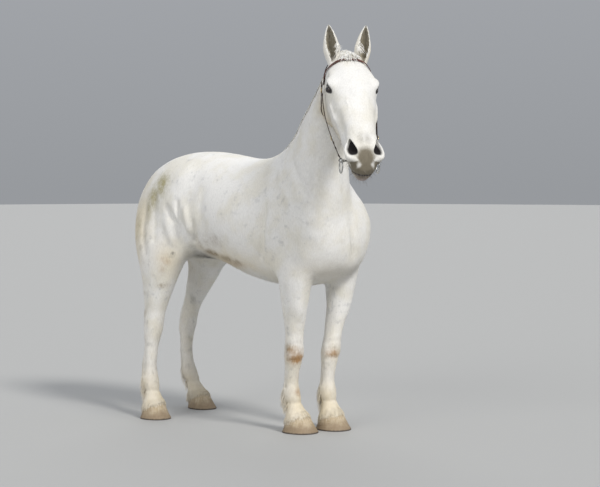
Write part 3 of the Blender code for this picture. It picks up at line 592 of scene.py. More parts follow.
# on the trunk and upper legs, seen from the side: height, width, and points (forward, up)
BODY_RELIEF = (
    (-0.011, 0.02, ((0.318, 1.47), (0.338, 1.315), (0.31, 1.131), (0.236, 1.028))),  # girth crease
    (0.006, 0.035, ((0.385, 1.46), (0.4, 1.28), (0.365, 1.1))),  # triceps
    (-0.006, 0.024, ((0.525, 1.42), (0.505, 1.22), (0.43, 1.06))),
    (0.005, 0.03, ((0.34, 1.68), (0.46, 1.52), (0.6, 1.36))),  # blade's spine
    (-0.006, 0.034, ((0.19, 1.68), (0.26, 1.56), (0.315, 1.47))),
    (-0.009, 0.034, ((0.5, 1.72), (0.62, 1.56), (0.72, 1.4))),  # before the blade
    (0.007, 0.05, ((0.7, 1.3), (0.68, 1.24))),  # point of shoulder
    (-0.005, 0.028, ((0.6, 1.24), (0.56, 1.12), (0.5, 1.02))),
    (-0.013, 0.085, ((-0.3, 1.53), (-0.33, 1.47))),  # hollow of the flank
    (0.007, 0.05, ((-0.405, 1.625), (-0.43, 1.6))),  # point of hip
    (-0.004, 0.032, ((-0.16, 1.6), (-0.2, 1.38), (-0.12, 1.12))),  # last rib
    (-0.013, 0.017, ((-0.425, 1.47), (-0.402, 1.332), (-0.359, 1.217), (-0.352, 1.165))),
    (0.011, 0.024, ((-0.35, 1.42), (-0.318, 1.28), (-0.325, 1.19))),  # fold of the flank
    (-0.011, 0.014, ((-0.268, 1.33), (-0.271, 1.205), (-0.334, 1.15))),
    (-0.012, 0.022, ((-0.545, 1.43), (-0.43, 1.28), (-0.38, 1.16))),  # front of the thigh
    (0.007, 0.03, ((-0.54, 1.34), (-0.48, 1.22), (-0.44, 1.12))),
    (-0.007, 0.024, ((-0.745, 1.48), (-0.725, 1.22), (-0.655, 1.02))),  # between hamstrings
    (-0.004, 0.024, ((-0.64, 1.46), (-0.61, 1.18))),
    (-0.005, 0.02, ((-0.52, 1.00), (-0.6, 0.86), (-0.66, 0.76))),  # down the gaskin
    (-0.006, 0.02, ((0.455, 0.94), (0.44, 0.8), (0.43, 0.64))),  # down the forearm
)
# on the face, for both sides: height, width, and points (down, out)
FACE_RELIEF = (
    (-0.009, 0.024, ((0.178, -0.052), (0.192, -0.046))),  # hollow over the eye
    (0.006, 0.013, ((0.205, -0.034), (0.25, -0.02), (0.296, -0.04))),  # brow
    (0.004, 0.016, ((0.225, -0.105), (0.165, -0.132))),
    (0.0075, 0.011, ((0.318, -0.092), (0.4, -0.099), (0.49, -0.108))),  # facial crest
    (-0.009, 0.026, ((0.4, -0.055), (0.52, -0.07), (0.625, -0.058))),
    (-0.006, 0.02, ((0.4, -0.136), (0.5, -0.146), (0.6, -0.142))),
    (-0.006, 0.017, ((0.365, -0.135), (0.38, -0.2), (0.42, -0.275))),  # front of the cheek
    (0.003, 0.024, ((0.14, -0.235), (0.215, -0.315), (0.32, -0.305))),  # edge of the jaw
    (-0.004, 0.01, ((0.66, -0.105), (0.715, -0.118), (0.76, -0.112))),  # above the lip
    (0.004, 0.012, ((0.69, -0.135), (0.75, -0.14), (0.8, -0.13))),  # lips
    (0.004, 0.012, ((0.7, -0.172), (0.76, -0.168), (0.815, -0.158))),
    (-0.003, 0.007, ((0.664, -0.15), (0.68, -0.176), (0.706, -0.192))),  # corner of the mouth
    (-0.002, 0.005, ((0.655, -0.14), (0.668, -0.172), (0.684, -0.192))),
)
# veins and hollows: height, width, and points (down, out, left) on the right of the face
FACE_LINES = (
    (0.0022, 0.005, ((0.335, -0.01, -0.072), (0.361, 0.002, -0.058), (0.4, -0.004, -0.066),
                      (0.429, -0.005, -0.057), (0.48, -0.006, -0.062), (0.522, -0.008, -0.047))),
    (0.0026, 0.0048, ((0.429, -0.005, -0.059), (0.45, -0.04, -0.082), (0.495, -0.092, -0.104),
                      (0.5, -0.14, -0.104))),
    (0.0024, 0.0045, ((0.5, -0.06, -0.092), (0.56, -0.045, -0.082), (0.62, -0.05, -0.082))),
    (-0.0025, 0.004, ((0.38, -0.014, -0.052), (0.43, -0.016, -0.05), (0.48, -0.018, -0.046))),
    (0.0045, 0.02, ((0.806, -0.078, -0.04), (0.815, -0.09, -0.036))),  # upper lip
    (-0.014, 0.036, ((0.24, -0.36, 0.0), (0.4, -0.32, 0.0), (0.56, -0.25, 0.0))),
    (-0.0035, 0.008, ((0.745, -0.012, 0.0), (0.8, -0.045, 0.0), (0.838, -0.1, 0.0))),
)


# round the legs: height, width, whether it leaves out the leg's middle, and points (up, ahead)
LEG_RELIEF = {
    "fore": (
        (-0.0055, 0.008, True, ((0.43, -0.012), (0.28, -0.014))),  # tendons
        (-0.0035, 0.01, False, ((0.558, 0.05), (0.548, 0.0))),  # knee
        (-0.004, 0.011, False, ((0.452, 0.05), (0.448, 0.0))),
        (0.003, 0.022, True, ((0.53, 0.01), (0.48, 0.012))),
    ),
    "hind": (
        (-0.0055, 0.009, True, ((0.5, -0.016), (0.28, -0.02))),  # tendons
        (-0.011, 0.018, True, ((0.84, -0.055), (0.76, -0.046), (0.68, -0.04))),  # before the hamstring
        (-0.005, 0.013, True, ((0.63, -0.03), (0.57, -0.012))),  # hock
    ),
}
PASTERN_RELIEF = (
    (0.003, 0.018, True, ((0.262, -0.022), (0.238, -0.028))),  # fetlock
    (-0.004, 0.014, False, ((0.185, 0.06), (0.178, -0.05))),  # pastern
)
# the horny chestnut inside each leg: width, and points (up, ahead, outside)
CHESTNUT = {
    "fore": (0.014, ((0.62, -0.01, -0.05), (0.665, -0.01, -0.05))),
    "hind": (0.013, ((0.52, -0.02, -0.05), (0.565, -0.02, -0.05))),
}


def work_muscles(made):
    """Raises and sinks the skin along every muscle, fold, vein and tendon."""
    points, facing = places(made.data), places(made.data, "normal")
    horse, features, head = of_horse(points), on_face(points), head_share(points)
    height = np.zeros(len(points))
    flank = (1 - head) * smoothstep(0.06, 0.13, np.abs(horse[:, 1] + 0.02))
    for amount, width, path in BODY_RELIEF:
        height += 1.55 * amount * flank * near_path(horse[:, [0, 2]], path, width)
    cheek = head * smoothstep(0.035, 0.055, np.abs(features[:, 2]))
    for amount, width, path in FACE_RELIEF:
        height += 1.35 * amount * cheek * near_path(features[:, :2], path, width)
    for amount, width, path in FACE_LINES:
        for side in (-1, 1):
            found = features * (1, 1, -side)
            height += 1.5 * amount * head * near_path(found, path, width) * (0.5 if path[0][2] == 0 else 1)
    # the groove down the middle of the breast, and the one under it beside the left leg
    breast = (horse[:, 0] > 0.6) * smoothstep(0.9, 1.05, horse[:, 2]) * (1 - head)
    height -= 0.014 * breast * near_path(horse[:, 1:], ((-0.03, 1.38), (-0.01, 1.2), (0.01, 1.02)), 0.024)
    height -= 0.01 * near_path(horse, ((0.72, 0.03, 1.03), (0.66, 0.09, 0.99), (0.56, 0.13, 0.97)), 0.022)
    # windpipe and jugular groove up the neck
    for outside in (-0.085, 0.085):
        groove = [
            (0.33 + reach * 0.906 + outside * 0.42, -reach * 0.423 + outside * 1.1, up)
            for reach, up in ((0.4, 1.3), (0.47, 1.48), (0.515, 1.66), (0.575, 1.84))
        ]
        height -= 0.009 * near_path(horse, groove, 0.024)
    for name in LEGS:
        leg = Leg(name)
        up, ahead, outside, mine = leg.locate(points)
        seen = np.stack([up, ahead], 1)
        across = smoothstep(0.006, 0.016, np.abs(outside)) * mine
        where = name.split("_")[0]
        for amount, width, aside, path in (*LEG_RELIEF[where], *PASTERN_RELIEF):
            height += amount * (across if aside else mine) * near_path(seen, path, width)
        width, path = CHESTNUT[where]
        height += 0.006 * mine * near_path(np.stack([up, ahead, outside], 1), path, width)
    inward = COAT_DEPTH * (1 - 0.6 * np.maximum(head, smoothstep(0.6, 0.3, points[:, 2])))
    put(made.data, points + facing * (height - inward)[:, None])


EYE_RADIUS = 0.0275
LID = 0.003
FISSURE = 0.0255  # half the length of the opening between the lids
SOCKET_SWELL = 0.006


def eye_ways(side):
    """The way the eye faces, the way to its front corner, and the way to its upper lid."""
    facing = face_way(0.06, 0.42, 0.9 * side).normalized()
    corner = face_way(0.9, 0.4, 0)
    corner = (corner - facing * corner.dot(facing)).normalized()
    upper = corner.cross(facing) * side
    return facing, corner, upper if upper.dot(FACE_OUT) > 0 else -upper


EYE_SEAT = {side: EYE_AT[side] - eye_ways(side)[0] * 0.006 for side, _ in SIDES}


def lid_opening(u, v):
    """How far each point is from the middle of the opening, where 1 is the edge of a lid."""
    height = np.where(v > 0, 0.0165 * (1 + 0.1 * np.clip(u / FISSURE, -1, 1)), 0.012)
    return ((np.abs(u) / FISSURE) ** 1.75 + (np.abs(v) / height) ** 1.75) ** (1 / 1.75)


def work_eyes(made):
    """Shapes the sockets, and the lids round each eye."""
    points, facings = places(made.data), places(made.data, "normal")
    for side, _ in SIDES:
        facing, corner, upper = eye_ways(side)
        moved = points - np.array(EYE_SEAT[side])
        u, v, w = (moved @ np.array(axis) for axis in (corner, upper, facing))
        # the socket's flesh stands out round the ball
        swell = np.exp(-(u**2 + v**2) / 0.05**2) * smoothstep(-0.02, 0.01, w) * (np.abs(w) < 0.08)
        points = points + facings * (SOCKET_SWELL * swell)[:, None]
        moved = points - np.array(EYE_SEAT[side])
        reach = np.linalg.norm(moved, axis=1)
        u, v, w = (moved @ np.array(axis) for axis in (corner, upper, facing))
        near = smoothstep(0.056, 0.04, reach) * smoothstep(0.000, 0.01, w)
        opening = lid_opening(u, v)
        # each lid is thick at its edge, with a crease beyond it, and rolls back into the socket
        beyond = np.where(v > 0, opening - 1, (opening - 1) * 1.3)
        height = EYE_RADIUS + LID + 0.001 * np.exp(-((beyond - 0.16) / 0.14) ** 2)
        height -= 0.002 * np.exp(-((beyond - 0.62) / 0.16) ** 2)
        height += 0.0024 * np.exp(-((beyond - 1.05) / 0.28) ** 2) + 0.004 * np.clip(beyond - 0.8, 0, 3)
        blend = near * np.where(opening < 1, 1, smoothstep(2.6, 1.3, opening))
        height = np.where(opening < 1, 0.0185, height)
        moved = moved + moved * ((height / reach - 1) * blend)[:, None]
        points = moved + np.array(EYE_SEAT[side])
    put(made.data, points)


def nostril_ways(side):
    """The nostril's middle, and the ways down it, towards the face's middle and out of it."""
    centre, along, opens = (np.array(v) for v in NOSTRIL[side])
    inner = np.cross(along, opens)
    return centre, along, inner if inner @ np.array(FACE_LEFT) * side < 0 else -inner, opens


def nostril_reach(u, v):
    """How far each point is from the nostril's middle line, where 1 is its edge: a comma, wide below."""
    t = np.clip((u - 0.002) / 0.061, -1.2, 1.2)
    width = 0.0345 * (0.76 + 0.26 * t)
    middle = 0.005 * t * t - 0.003
    return np.sqrt(((v - middle) / width) ** 2 + ((u - 0.002) / 0.061) ** 2)


def work_nostrils(made):
    """Sinks each nostril, and raises its rim and the furrow round it."""
    points, facing = places(made.data), places(made.data, "normal")
    for side, _ in SIDES:
        centre, along, inner, opens = nostril_ways(side)
        moved = points - centre
        u, v, w = moved @ along, moved @ inner, moved @ opens
        mine = (head_share(points) > 0.9) & (w > -0.035) & (np.linalg.norm(moved, axis=1) < 0.11)
        reach = nostril_reach(u, v)
        pit = smoothstep(1.02, 0.66, reach) * mine * 0.034
        rim = np.exp(-((reach - 1.32) / 0.3) ** 2) * mine * np.where(v < 0, 0.006, 0.0022)
        rim *= smoothstep(-0.056, -0.03, u)
        furrow = np.exp(-((reach - 2.3) / 0.36) ** 2) * mine * np.where(v < 0, 0.003, 0.0012)
        points = points - np.outer(pit, opens * 0.84 - along * -0.45) + facing * (rim - furrow)[:, None]
    put(made.data, points)


def lip_line(down, left):
    """How far out of the face the lips meet."""
    return -0.158 + 0.02 * smoothstep(0.7, 0.84, down) + 0.006 * np.cos(left / 0.03)


def work_mouth(made):
    """The line between the lips, and the small wrinkles round it."""
    points, facing = places(made.data), places(made.data, "normal")
    features, head = on_face(points), head_share(points)
    down, out, left = features.T
    line = lip_line(down, left)
    front = smoothstep(0.69, 0.715, down) * head
    height = -0.01 * np.exp(-((out - line) / 0.0045) ** 2) * front
    wrinkle = np.sin((down * 0.8 + out) * 420 + 3 * np.sin(left * 90)) * 0.0003
    height += wrinkle * smoothstep(0.72, 0.77, down) * smoothstep(-0.05, -0.08, out) * head
    put(made.data, points + facing * height[:, None])


work_muscles(skin)
work_nostrils(skin)
work_mouth(skin)
points = places(skin.data)
rough = np.zeros(len(points))
for centre, _, _ in NOSTRIL.values():
    rough = np.maximum(rough, smoothstep(0.075, 0.055, away_from(points, centre)))
smooth(skin, 0.8 * rough, 3)
work_eyes(skin)
points = places(skin.data)
lids = np.maximum(*(smoothstep(0.04, 0.032, away_from(points, EYE_SEAT[side])) for side, _ in SIDES))
smooth(skin, 0.7 * lids, 2)

# ---- The markings ----
# A white coat over grey skin: faint mottles on the quarters and barrel, grass and dung stains on
# the rump, mud on the belly and knees, cream hair on the fetlocks, and bare dark skin round the
# eyes, nostrils and lips. Painted shade darkens the fold between the right flank and thigh, the
# hollow behind the left elbow, the line between the lips and the depth of the nostrils. The skin
# and every tuft take their markings from the same places.
MARKS = {
    # colour, then spots: strength, middle and reach (forward, left, up)
    "cream": ((0.72, 0.6, 0.38), (
        (0.6, (-0.8, -0.28, 1.24), (0.13, 0.25, 0.27)), (0.45, (-0.8, 0.18, 1.15), (0.14, 0.2, 0.3)),
        (0.55, (-0.05, -0.2, 1.06), (0.36, 0.14, 0.08)), (0.45, (-0.52, -0.35, 1.06), (0.11, 0.12, 0.13)),
        (0.45, (0.6, -0.05, 1.02), (0.16, 0.2, 0.07)),
    )),
    "moss": ((0.4, 0.36, 0.21), (
        (0.95, (-0.59, -0.33, 1.535), (0.08, 0.14, 0.09)), (0.85, (-0.65, -0.33, 1.46), (0.078, 0.14, 0.1)),
        (0.6, (-0.7, -0.34, 1.38), (0.06, 0.12, 0.11)), (0.4, (-0.78, -0.3, 1.26), (0.1, 0.18, 0.2)),
    )),
    "mud": ((0.28, 0.21, 0.12), (
        (0.75, (-0.2, -0.24, 1.095), (0.09, 0.08, 0.034)), (0.7, (-0.06, -0.25, 1.065), (0.1, 0.08, 0.028)),
        (0.6, (0.04, -0.25, 1.045), (0.07, 0.08, 0.026)),
        (0.95, (-0.165, -0.245, 1.09), (0.024, 0.06, 0.018)),
        (0.85, (-0.02, -0.255, 1.06), (0.026, 0.06, 0.014)), (0.42, (-0.1, -0.3, 1.18), (0.15, 0.1, 0.07)),
        (0.4, (-0.27, -0.26, 1.17), (0.05, 0.09, 0.09)), (0.65, (-0.05, 0.0, 1.00), (0.45, 0.16, 0.04)),
        (0.6, (-0.565, -0.35, 0.878), (0.05, 0.07, 0.02)), (0.7, (0.445, -0.2, 0.53), (0.045, 0.06, 0.032)),
        (0.45, (-0.74, -0.32, 0.69), (0.06, 0.07, 0.035)), (0.5, (0.56, 0.09, 0.52), (0.04, 0.06, 0.026)),
    )),
    "rust": ((0.42, 0.25, 0.115), (
        (1.1, (0.487, -0.17, 0.46), (0.075, 0.085, 0.036)),
        (0.6, (0.47, -0.185, 0.505), (0.055, 0.07, 0.04)),
        (0.75, (0.55, 0.085, 0.478), (0.07, 0.085, 0.034)),
        (0.4, (-0.515, -0.365, 1.045), (0.055, 0.07, 0.045)),
        (0.35, (-0.545, -0.36, 0.985), (0.03, 0.06, 0.035)),
        (0.7, (0.452, -0.115, 0.25), (0.045, 0.04, 0.03)), (0.6, (0.47, -0.12, 0.345), (0.03, 0.03, 0.07)),
        (0.4, (-0.05, -0.22, 1.03), (0.25, 0.1, 0.03)),
    )),
    "muzzle": ((0.185, 0.16, 0.115), ()),
    # dark bare skin on the sheath, dark patches on the right stifle and inside the left hind leg, and painted
    # shade in the fold between the right flank and thigh and behind the left elbow
    "dusk": ((0.034, 0.03, 0.03), (
        (0.6, (-0.461, -0.35, 1.088), (0.016, 0.05, 0.013)),
        (0.35, (-0.475, -0.35, 1.07), (0.026, 0.05, 0.012)), (0.6, (-0.36, -0.1, 1.07), (0.13, 0.17, 0.09)),
        (0.3, (-0.35, -0.25, 1.13), (0.045, 0.07, 0.045)),
        (0.4, (-0.747, 0.095, 0.756), (0.024, 0.04, 0.045)), (0.3, (0.33, 0.18, 0.96), (0.1, 0.1, 0.05)),
    )),
}
# dark bare skin on the face: strength, middle and reach (down, out, left), the same on both sides
FACE_MUZZLE = (
    (1.0, (0.785, -0.045, 0.0), (0.062, 0.08, 0.051)), (1.0, (0.825, -0.1, 0.02), (0.04, 0.07, 0.065)),
    (0.95, (0.8, -0.09, 0.06), (0.036, 0.045, 0.04)), (0.85, (0.77, -0.145, 0.07), (0.07, 0.026, 0.03)),
    (0.45, (0.7, -0.1, 0.095), (0.045, 0.03, 0.03)), (0.3, (0.67, 0.0, 0.02), (0.05, 0.04, 0.03)),
)
LIP_BULGES = ((0.75, (0.808, -0.079, 0.04), (0.016, 0.03, 0.015)),)
FACE_CREAM = (
    (0.85, (0.3, -0.28, 0.075), (0.22, 0.09, 0.08)), (0.5, (0.52, -0.19, 0.09), (0.12, 0.05, 0.05)),
    (0.5, (-0.07, -0.03, 0.1), (0.12, 0.07, 0.06)), (0.4, (0.1, -0.16, 0.11), (0.12, 0.05, 0.04)),
)


def spots(where, table):
    """How strongly a table's soft-edged spots cover each point."""
    total = np.zeros(len(where))
    for strength, middle, reach in table:
        total = np.maximum(total, strength * np.exp(-(((where - middle) / np.array(reach)) ** 2).sum(1)))
    return total


def markings(points):
    """How strong each marking is at each point."""
    horse, features, head = of_horse(points), on_face(points), head_share(points)
    level = points[:, 2]
    found = {name: spots(horse, table) * (1 - head) for name, (_, table) in MARKS.items()}
    folded = np.stack([features[:, 0], features[:, 1], np.abs(features[:, 2])], 1)
    found["muzzle"] = head * spots(folded, FACE_MUZZLE) * (1 - spots(folded, LIP_BULGES))
    found["cream"] = np.maximum(found["cream"], head * spots(folded, FACE_CREAM))
    # fetlocks, pasterns and the hair over the coronet are cream, and muddier towards the ground
    low_cream = 0.42 * smoothstep(0.4, 0.14, level) + 0.2 * smoothstep(0.9, 0.4, level)
    found["cream"] = np.maximum(found["cream"], low_cream)
    found["mud"] = np.maximum(found["mud"], 0.34 * smoothstep(0.13, 0.06, level))
    found["pit"] = np.zeros(len(points))
    # where the hair lies level along the body, not down the limb or the face
    found["level_coat"] = (1 - head) * smoothstep(0.85, 1.15, level) * smoothstep(0.6, 0.25, horse[:, 0])
    for side, _ in SIDES:
        facing, corner, upper = eye_ways(side)
        moved = points - np.array(EYE_SEAT[side])
        u, v = moved @ np.array(corner), moved @ np.array(upper)
        opening = lid_opening(u, v)
        near = (np.linalg.norm(moved, axis=1) < 0.07) & (moved @ np.array(facing) > -0.01)
        found["dusk"] = np.maximum(found["dusk"], near * smoothstep(2.2, 1.2, opening))
        centre, along, inner, _ = nostril_ways(side)
        moved = points - centre
        reach = nostril_reach(moved @ along, moved @ inner)
        near = (np.linalg.norm(moved, axis=1) < 0.09) & (head > 0.9)
        # the pit mark covers the inside of the nostril, which is painted nearly black as its dark lining and
        # painted shade in its depth
        found["pit"] = np.maximum(found["pit"], near * smoothstep(1.02, 0.8, reach))
        pale_rim = near * np.exp(-((reach - 1.35) / 0.26) ** 2) * smoothstep(0.004, -0.004, moved @ inner)
        found["muzzle"] *= 1 - 0.9 * pale_rim
    # the line where the lips meet is painted dark: painted shade in the crease between them
    line = lip_line(features[:, 0], features[:, 2])
    mouth = np.exp(-((features[:, 1] - line) / 0.006) ** 2) * smoothstep(0.68, 0.71, features[:, 0]) * head
    found["dusk"] = np.maximum(found["dusk"], mouth)
    found["pink"] = head * spots(folded, ((0.85, (0.825, -0.185, 0.0), (0.035, 0.032, 0.05)),))
    # the inside of the ears is olive grey, the rims pale
    inside = np.zeros(len(points))
    for side, _ in SIDES:
        root, axis, front, sideways = ear_ways(side)
        moved = points - np.array(root)
        up = moved @ np.array(axis) / EAR_LENGTH
        rows = flow(EAR, 60)
        radius = np.interp(up, rows[:, 0], rows[:, 1])
        wall = np.interp(up, rows[:, 0], rows[:, 3])
        middle = np.array(front)[None, :] * (0.012 * np.clip(up, 0, 1) ** 2)[:, None]
        across = moved - np.outer(up * EAR_LENGTH, np.array(axis)) - middle
        x, y = across @ np.array(sideways), across @ np.array(front)
        round_ = np.hypot(x, y / 0.8)
        angle = np.abs(np.arctan2(x, -y / 0.8))
        spread = np.radians(np.interp(up, rows[:, 0], rows[:, 2]))
        hollow = (round_ < radius - 0.5 * wall) * smoothstep(0.92, 0.42, angle / spread)
        hollow = hollow * smoothstep(0.02, 0.1, up) * smoothstep(1.0, 0.9, up)
        inside = np.maximum(inside, hollow * (up < 1.02) * (round_ < 0.06))
    found["olive"] = inside
    # how strongly the grey mottles show
    mottle = spots(horse, (
        (0.9, (-0.42, -0.2, 1.62), (0.22, 0.4, 0.14)), (0.8, (-0.1, -0.33, 1.42), (0.24, 0.4, 0.2)),
        (0.9, (0.46, -0.25, 1.3), (0.26, 0.4, 0.26)), (0.8, (-0.68, -0.32, 1.2), (0.16, 0.5, 0.3)),
    ))
    found["mottle"] = 0.25 + 0.75 * np.maximum(mottle, 0.8 * smoothstep(1.1, 0.75, level)) * (1 - head)
    return found


def write_marks(mesh, found):
    """Keeps each marking on the mesh's points, where the materials read it."""
    for name, values in found.items():
        layer = mesh.attributes.new(name, "FLOAT", "POINT")
        layer.data.foreach_set("value", np.ascontiguousarray(np.clip(values, 0, 1), dtype=np.float32))


def mixed(nodes, factor, first, second, blend="MIX"):
    """A colour between two others."""
    node = nodes.add("Mix", {"data_type": "RGBA", "blend_type": blend, "clamp_factor": True})
    nodes.feed(node.inputs[0], factor)
    nodes.feed(node.inputs[6], first)
    nodes.feed(node.inputs[7], second)
    return node.outputs[2]


def grain(nodes, scale, detail=3.0, stretch=(1, 1, 1), roughness=0.55):
    """A noise over the piece, as a Value."""
    where = nodes.add("TexCoord").outputs["Object"]
    if stretch != (1, 1, 1):
        where = nodes.add("Mapping", Vector=where, Scale=stretch).outputs[0]
    noise = nodes.add("TexNoise", None, Vector=where, Scale=scale, Detail=detail, Roughness=roughness)
    return Value(nodes, noise.outputs["Fac"])


def stepped(value, low, high):
    """A soft step from 0 below the low value to 1 above the high one."""
    smoothly = {"interpolation_type": "SMOOTHSTEP"}
    node = value.nodes.add("MapRange", smoothly, i0=value, i1=low, i2=high, i3=0.0, i4=1.0)
    return Value(value.nodes, node.outputs[0])


def mark(nodes, name):
    """A marking kept on the mesh's points, as a Value."""
    node = nodes.add("Attribute", {"attribute_name": name})
    return Value(nodes, node.outputs["Fac"])


WHITE, WARM_WHITE, GREY = (0.82, 0.81, 0.785), (0.77, 0.745, 0.675), (0.45, 0.45, 0.45)
PINK_SKIN, NOSTRIL_LINING_AND_SHADE, EAR_OLIVE = (0.36, 0.27, 0.26), (0.01, 0.008, 0.008), (0.27, 0.24, 0.175)
# how raggedly each marking ends, where it isn't as the rest
EDGES, RAGGED_EDGE = {"muzzle": 0.45, "dusk": 0.7}, 1.1


def coat_colour(nodes):
    """The colour of the skin and coat, from the markings and a few noises."""
    broad, medium, fine = grain(nodes, 5), grain(nodes, 24, 4), grain(nodes, 150, 3, (1, 1, 0.3))
    colour = mixed(nodes, stepped(broad, 0.4, 0.65), WHITE, WARM_WHITE)
    patches = stepped(medium, 0.52, 0.7) * stepped(grain(nodes, 9, 2), 0.42, 0.6)
    colour = mixed(nodes, patches * mark(nodes, "mottle") * 0.62, colour, GREY)
    flecks = stepped(grain(nodes, 65, 2), 0.66, 0.74) * mark(nodes, "mottle")
    colour = mixed(nodes, flecks * 0.5, colour, GREY)
    ragged = (medium - 0.5) * 1.3 + (fine - 0.5) * 1.0
    for name, (tint, _) in MARKS.items():
        strength = mark(nodes, name)
        edge = EDGES.get(name, RAGGED_EDGE)
        worn = stepped(strength + ragged * strength * edge, 0.02, 0.3 + edge * 0.72)
        worn = worn if name != "cream" else strength * (0.55 + broad * 0.7)
        colour = mixed(nodes, worn, colour, tint)
    colour = mixed(nodes, mark(nodes, "pink"), colour, PINK_SKIN)
    # the inside of each nostril is painted nearly black, darker than its skin: its dark lining and painted
    # shade in its depth
    colour = mixed(nodes, mark(nodes, "pit"), colour, NOSTRIL_LINING_AND_SHADE)
    colour = mixed(nodes, mark(nodes, "olive") * (0.7 + fine * 0.4), colour, EAR_OLIVE)
    return colour, fine, medium


def skin_finish():
    """Short flat hair over skin, bare and smooth where it is dark."""
    nodes = Nodes("white_coat")
    colour, fine, medium = coat_colour(nodes)
    colour = mixed(nodes, stepped(fine, 0.3, 0.7) * 0.16, colour, (0.42, 0.41, 0.39), "MULTIPLY")
    # the dark skin and the painted shade spots of this mark both lose the hair grain and shine a little
    bare = mark(nodes, "dusk")
    level = mark(nodes, "level_coat")
    hair = grain(nodes, 420, 2, (1, 1, 0.22)) * (1 - level) + grain(nodes, 420, 2, (1, 0.22, 0.7)) * level
    hair = hair * (1 - bare * 0.7)
    pores = grain(nodes, 700, 2) * bare
    bump = nodes.add("Bump", None, Strength=0.55, Distance=0.0016, Height=hair + pores * 0.6 + medium * 0.8)
    roughness = 0.72 - bare * 0.24 + mark(nodes, "pit") * 0.5
    return nodes.finish(Base_Color=colour, Roughness=roughness, Normal=bump.outputs[0])


write_marks(skin.data, markings(places(skin.data)))
skin.data.materials.clear()
skin.data.materials.append(skin_finish())
skin.data.polygons.foreach_set("material_index", [0] * len(skin.data.polygons))
skin.data.shade_smooth()
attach(skin, "root")
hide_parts(*FLESH, "ear_right", "ear_left")

# ---- The eyes ----
# Each eye is one dark wet ball in its socket, with a bulging cornea, a brown iris and a level,
# oblong pupil. The lids of the skin close round it.
# half width of the cornea, and how far it stands out
CORNEA, CORNEA_RISE = 0.019, 0.0018


def eye_finish(side, which):
    """A dark brown iris round an oblong pupil, under a wet clear coat."""
    facing, corner, upper = eye_ways(side)
    nodes = Nodes(f"eye_{which}")
    where = nodes.add("TexCoord").outputs["Object"]
    moved = nodes.add("VectorMath", {"operation": "SUBTRACT"}, i0=where, i1=EYE_SEAT[side]).outputs[0]

    def along(axis):
        dot = nodes.add("VectorMath", {"operation": "DOT_PRODUCT"}, i0=moved, i1=axis)
        return Value(nodes, dot.outputs["Value"])

    u, v = along(corner) / CORNEA, along(upper) / CORNEA
    ring = (u * u + v * v).math("POWER", 0.5)
    pupil = ((u / 0.62) * (u / 0.62) + (v / 0.34) * (v / 0.34)).math("POWER", 0.5)
    streaks = grain(nodes, 900, 2)
    iris = mixed(nodes, stepped(streaks, 0.35, 0.65), (0.016, 0.008, 0.004), (0.045, 0.021, 0.009))
    colour = mixed(nodes, stepped(pupil, 1.05, 0.92), iris, (0.002, 0.002, 0.003))
    white = mixed(nodes, stepped(grain(nodes, 300, 3), 0.45, 0.6), (0.06, 0.04, 0.032), (0.17, 0.12, 0.1))
    colour = mixed(nodes, stepped(ring, 0.9, 1.04), colour, white)
    nodes.shader.inputs["Coat Weight"].default_value = 1.0
    nodes.shader.inputs["Coat Roughness"].default_value = 0.02
    return nodes.finish(Base_Color=colour, Roughness=0.1 + streaks * 0.06)


def piece(name, bm, finish, replaced=()):
    """A finished mesh with its material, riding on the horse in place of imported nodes."""
    made = link(name, bpy.data.meshes.new(name))
    bm.to_mesh(made.data)
    bm.free()
    made.data.materials.append(finish)
    made.data.shade_smooth()
    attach(made, "root")
    if replaced:
        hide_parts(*replaced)


def build_eye(side, which):
    """One ball, with the cornea raised out of its front."""
    facing = eye_ways(side)[0]
    bm = bmesh.new()
    bmesh.ops.create_uvsphere(bm, u_segments=56, v_segments=36, radius=EYE_RADIUS)
    for vert in bm.verts:
        off = math.hypot(vert.co.x, vert.co.y)
        if vert.co.z > 0 and off < CORNEA:
            vert.co.z += CORNEA_RISE * (1 - (off / CORNEA) ** 2)
    seat = Matrix.Translation(EYE_SEAT[side]) @ turned_to(facing)
    bmesh.ops.transform(bm, matrix=seat, verts=bm.verts)
    piece(f"eyeball_{which}", bm, eye_finish(side, which), [f"eye_{which}"])


for side, which in SIDES:
    build_eye(side, which)

# ---- The hooves ----
# Broad unshod hooves of pale horn, ringed with growth lines and stained with mud below. Each
# grows out from under the hair of the coronet and stands flat on its lower edge.
GROWTH_RINGS = 9


def hoof_finish():
    """Pale streaked horn, dirtier towards the ground, with painted shade along its lowest edge."""
    nodes = Nodes("hoof_horn")
    where = nodes.add("TexCoord").outputs["Object"]
    height = Value(nodes, nodes.add("SeparateXYZ", None, Vector=where).outputs["Z"])
    streaks = grain(nodes, 90, 3, (1, 1, 0.1))
    patches = grain(nodes, 22, 4)
    colour = mixed(nodes, stepped(streaks, 0.35, 0.68), (0.54, 0.45, 0.32), (0.43, 0.34, 0.22))
    dirt = stepped(height * -1 + (patches - 0.5) * 0.07, -0.08, -0.02)
    colour = mixed(nodes, dirt * 0.85, colour, (0.24, 0.175, 0.11))
    # the lowest centimetre is painted nearly black: painted shade where the hoof stands on the floor
    ground_shade = stepped(height * -1 + (streaks - 0.5) * 0.01, -0.012, -0.003)
    colour = mixed(nodes, ground_shade, colour, (0.07, 0.055, 0.045))
    colour = mixed(nodes, stepped(grain(nodes, 160, 2), 0.62, 0.75) * 0.5, colour, (0.12, 0.085, 0.055))
    rings = height.math("MULTIPLY", 2 * math.pi * GROWTH_RINGS / CORONET_HEIGHT).math("SINE")
    relief = rings * 0.1 + streaks * 0.5 + patches * 0.7
    bump = nodes.add("Bump", None, Strength=0.5, Distance=0.001, Height=relief)
    return nodes.finish(Base_Color=colour, Roughness=0.5 + patches * 0.3, Normal=bump.outputs[0])


HORN = hoof_finish()


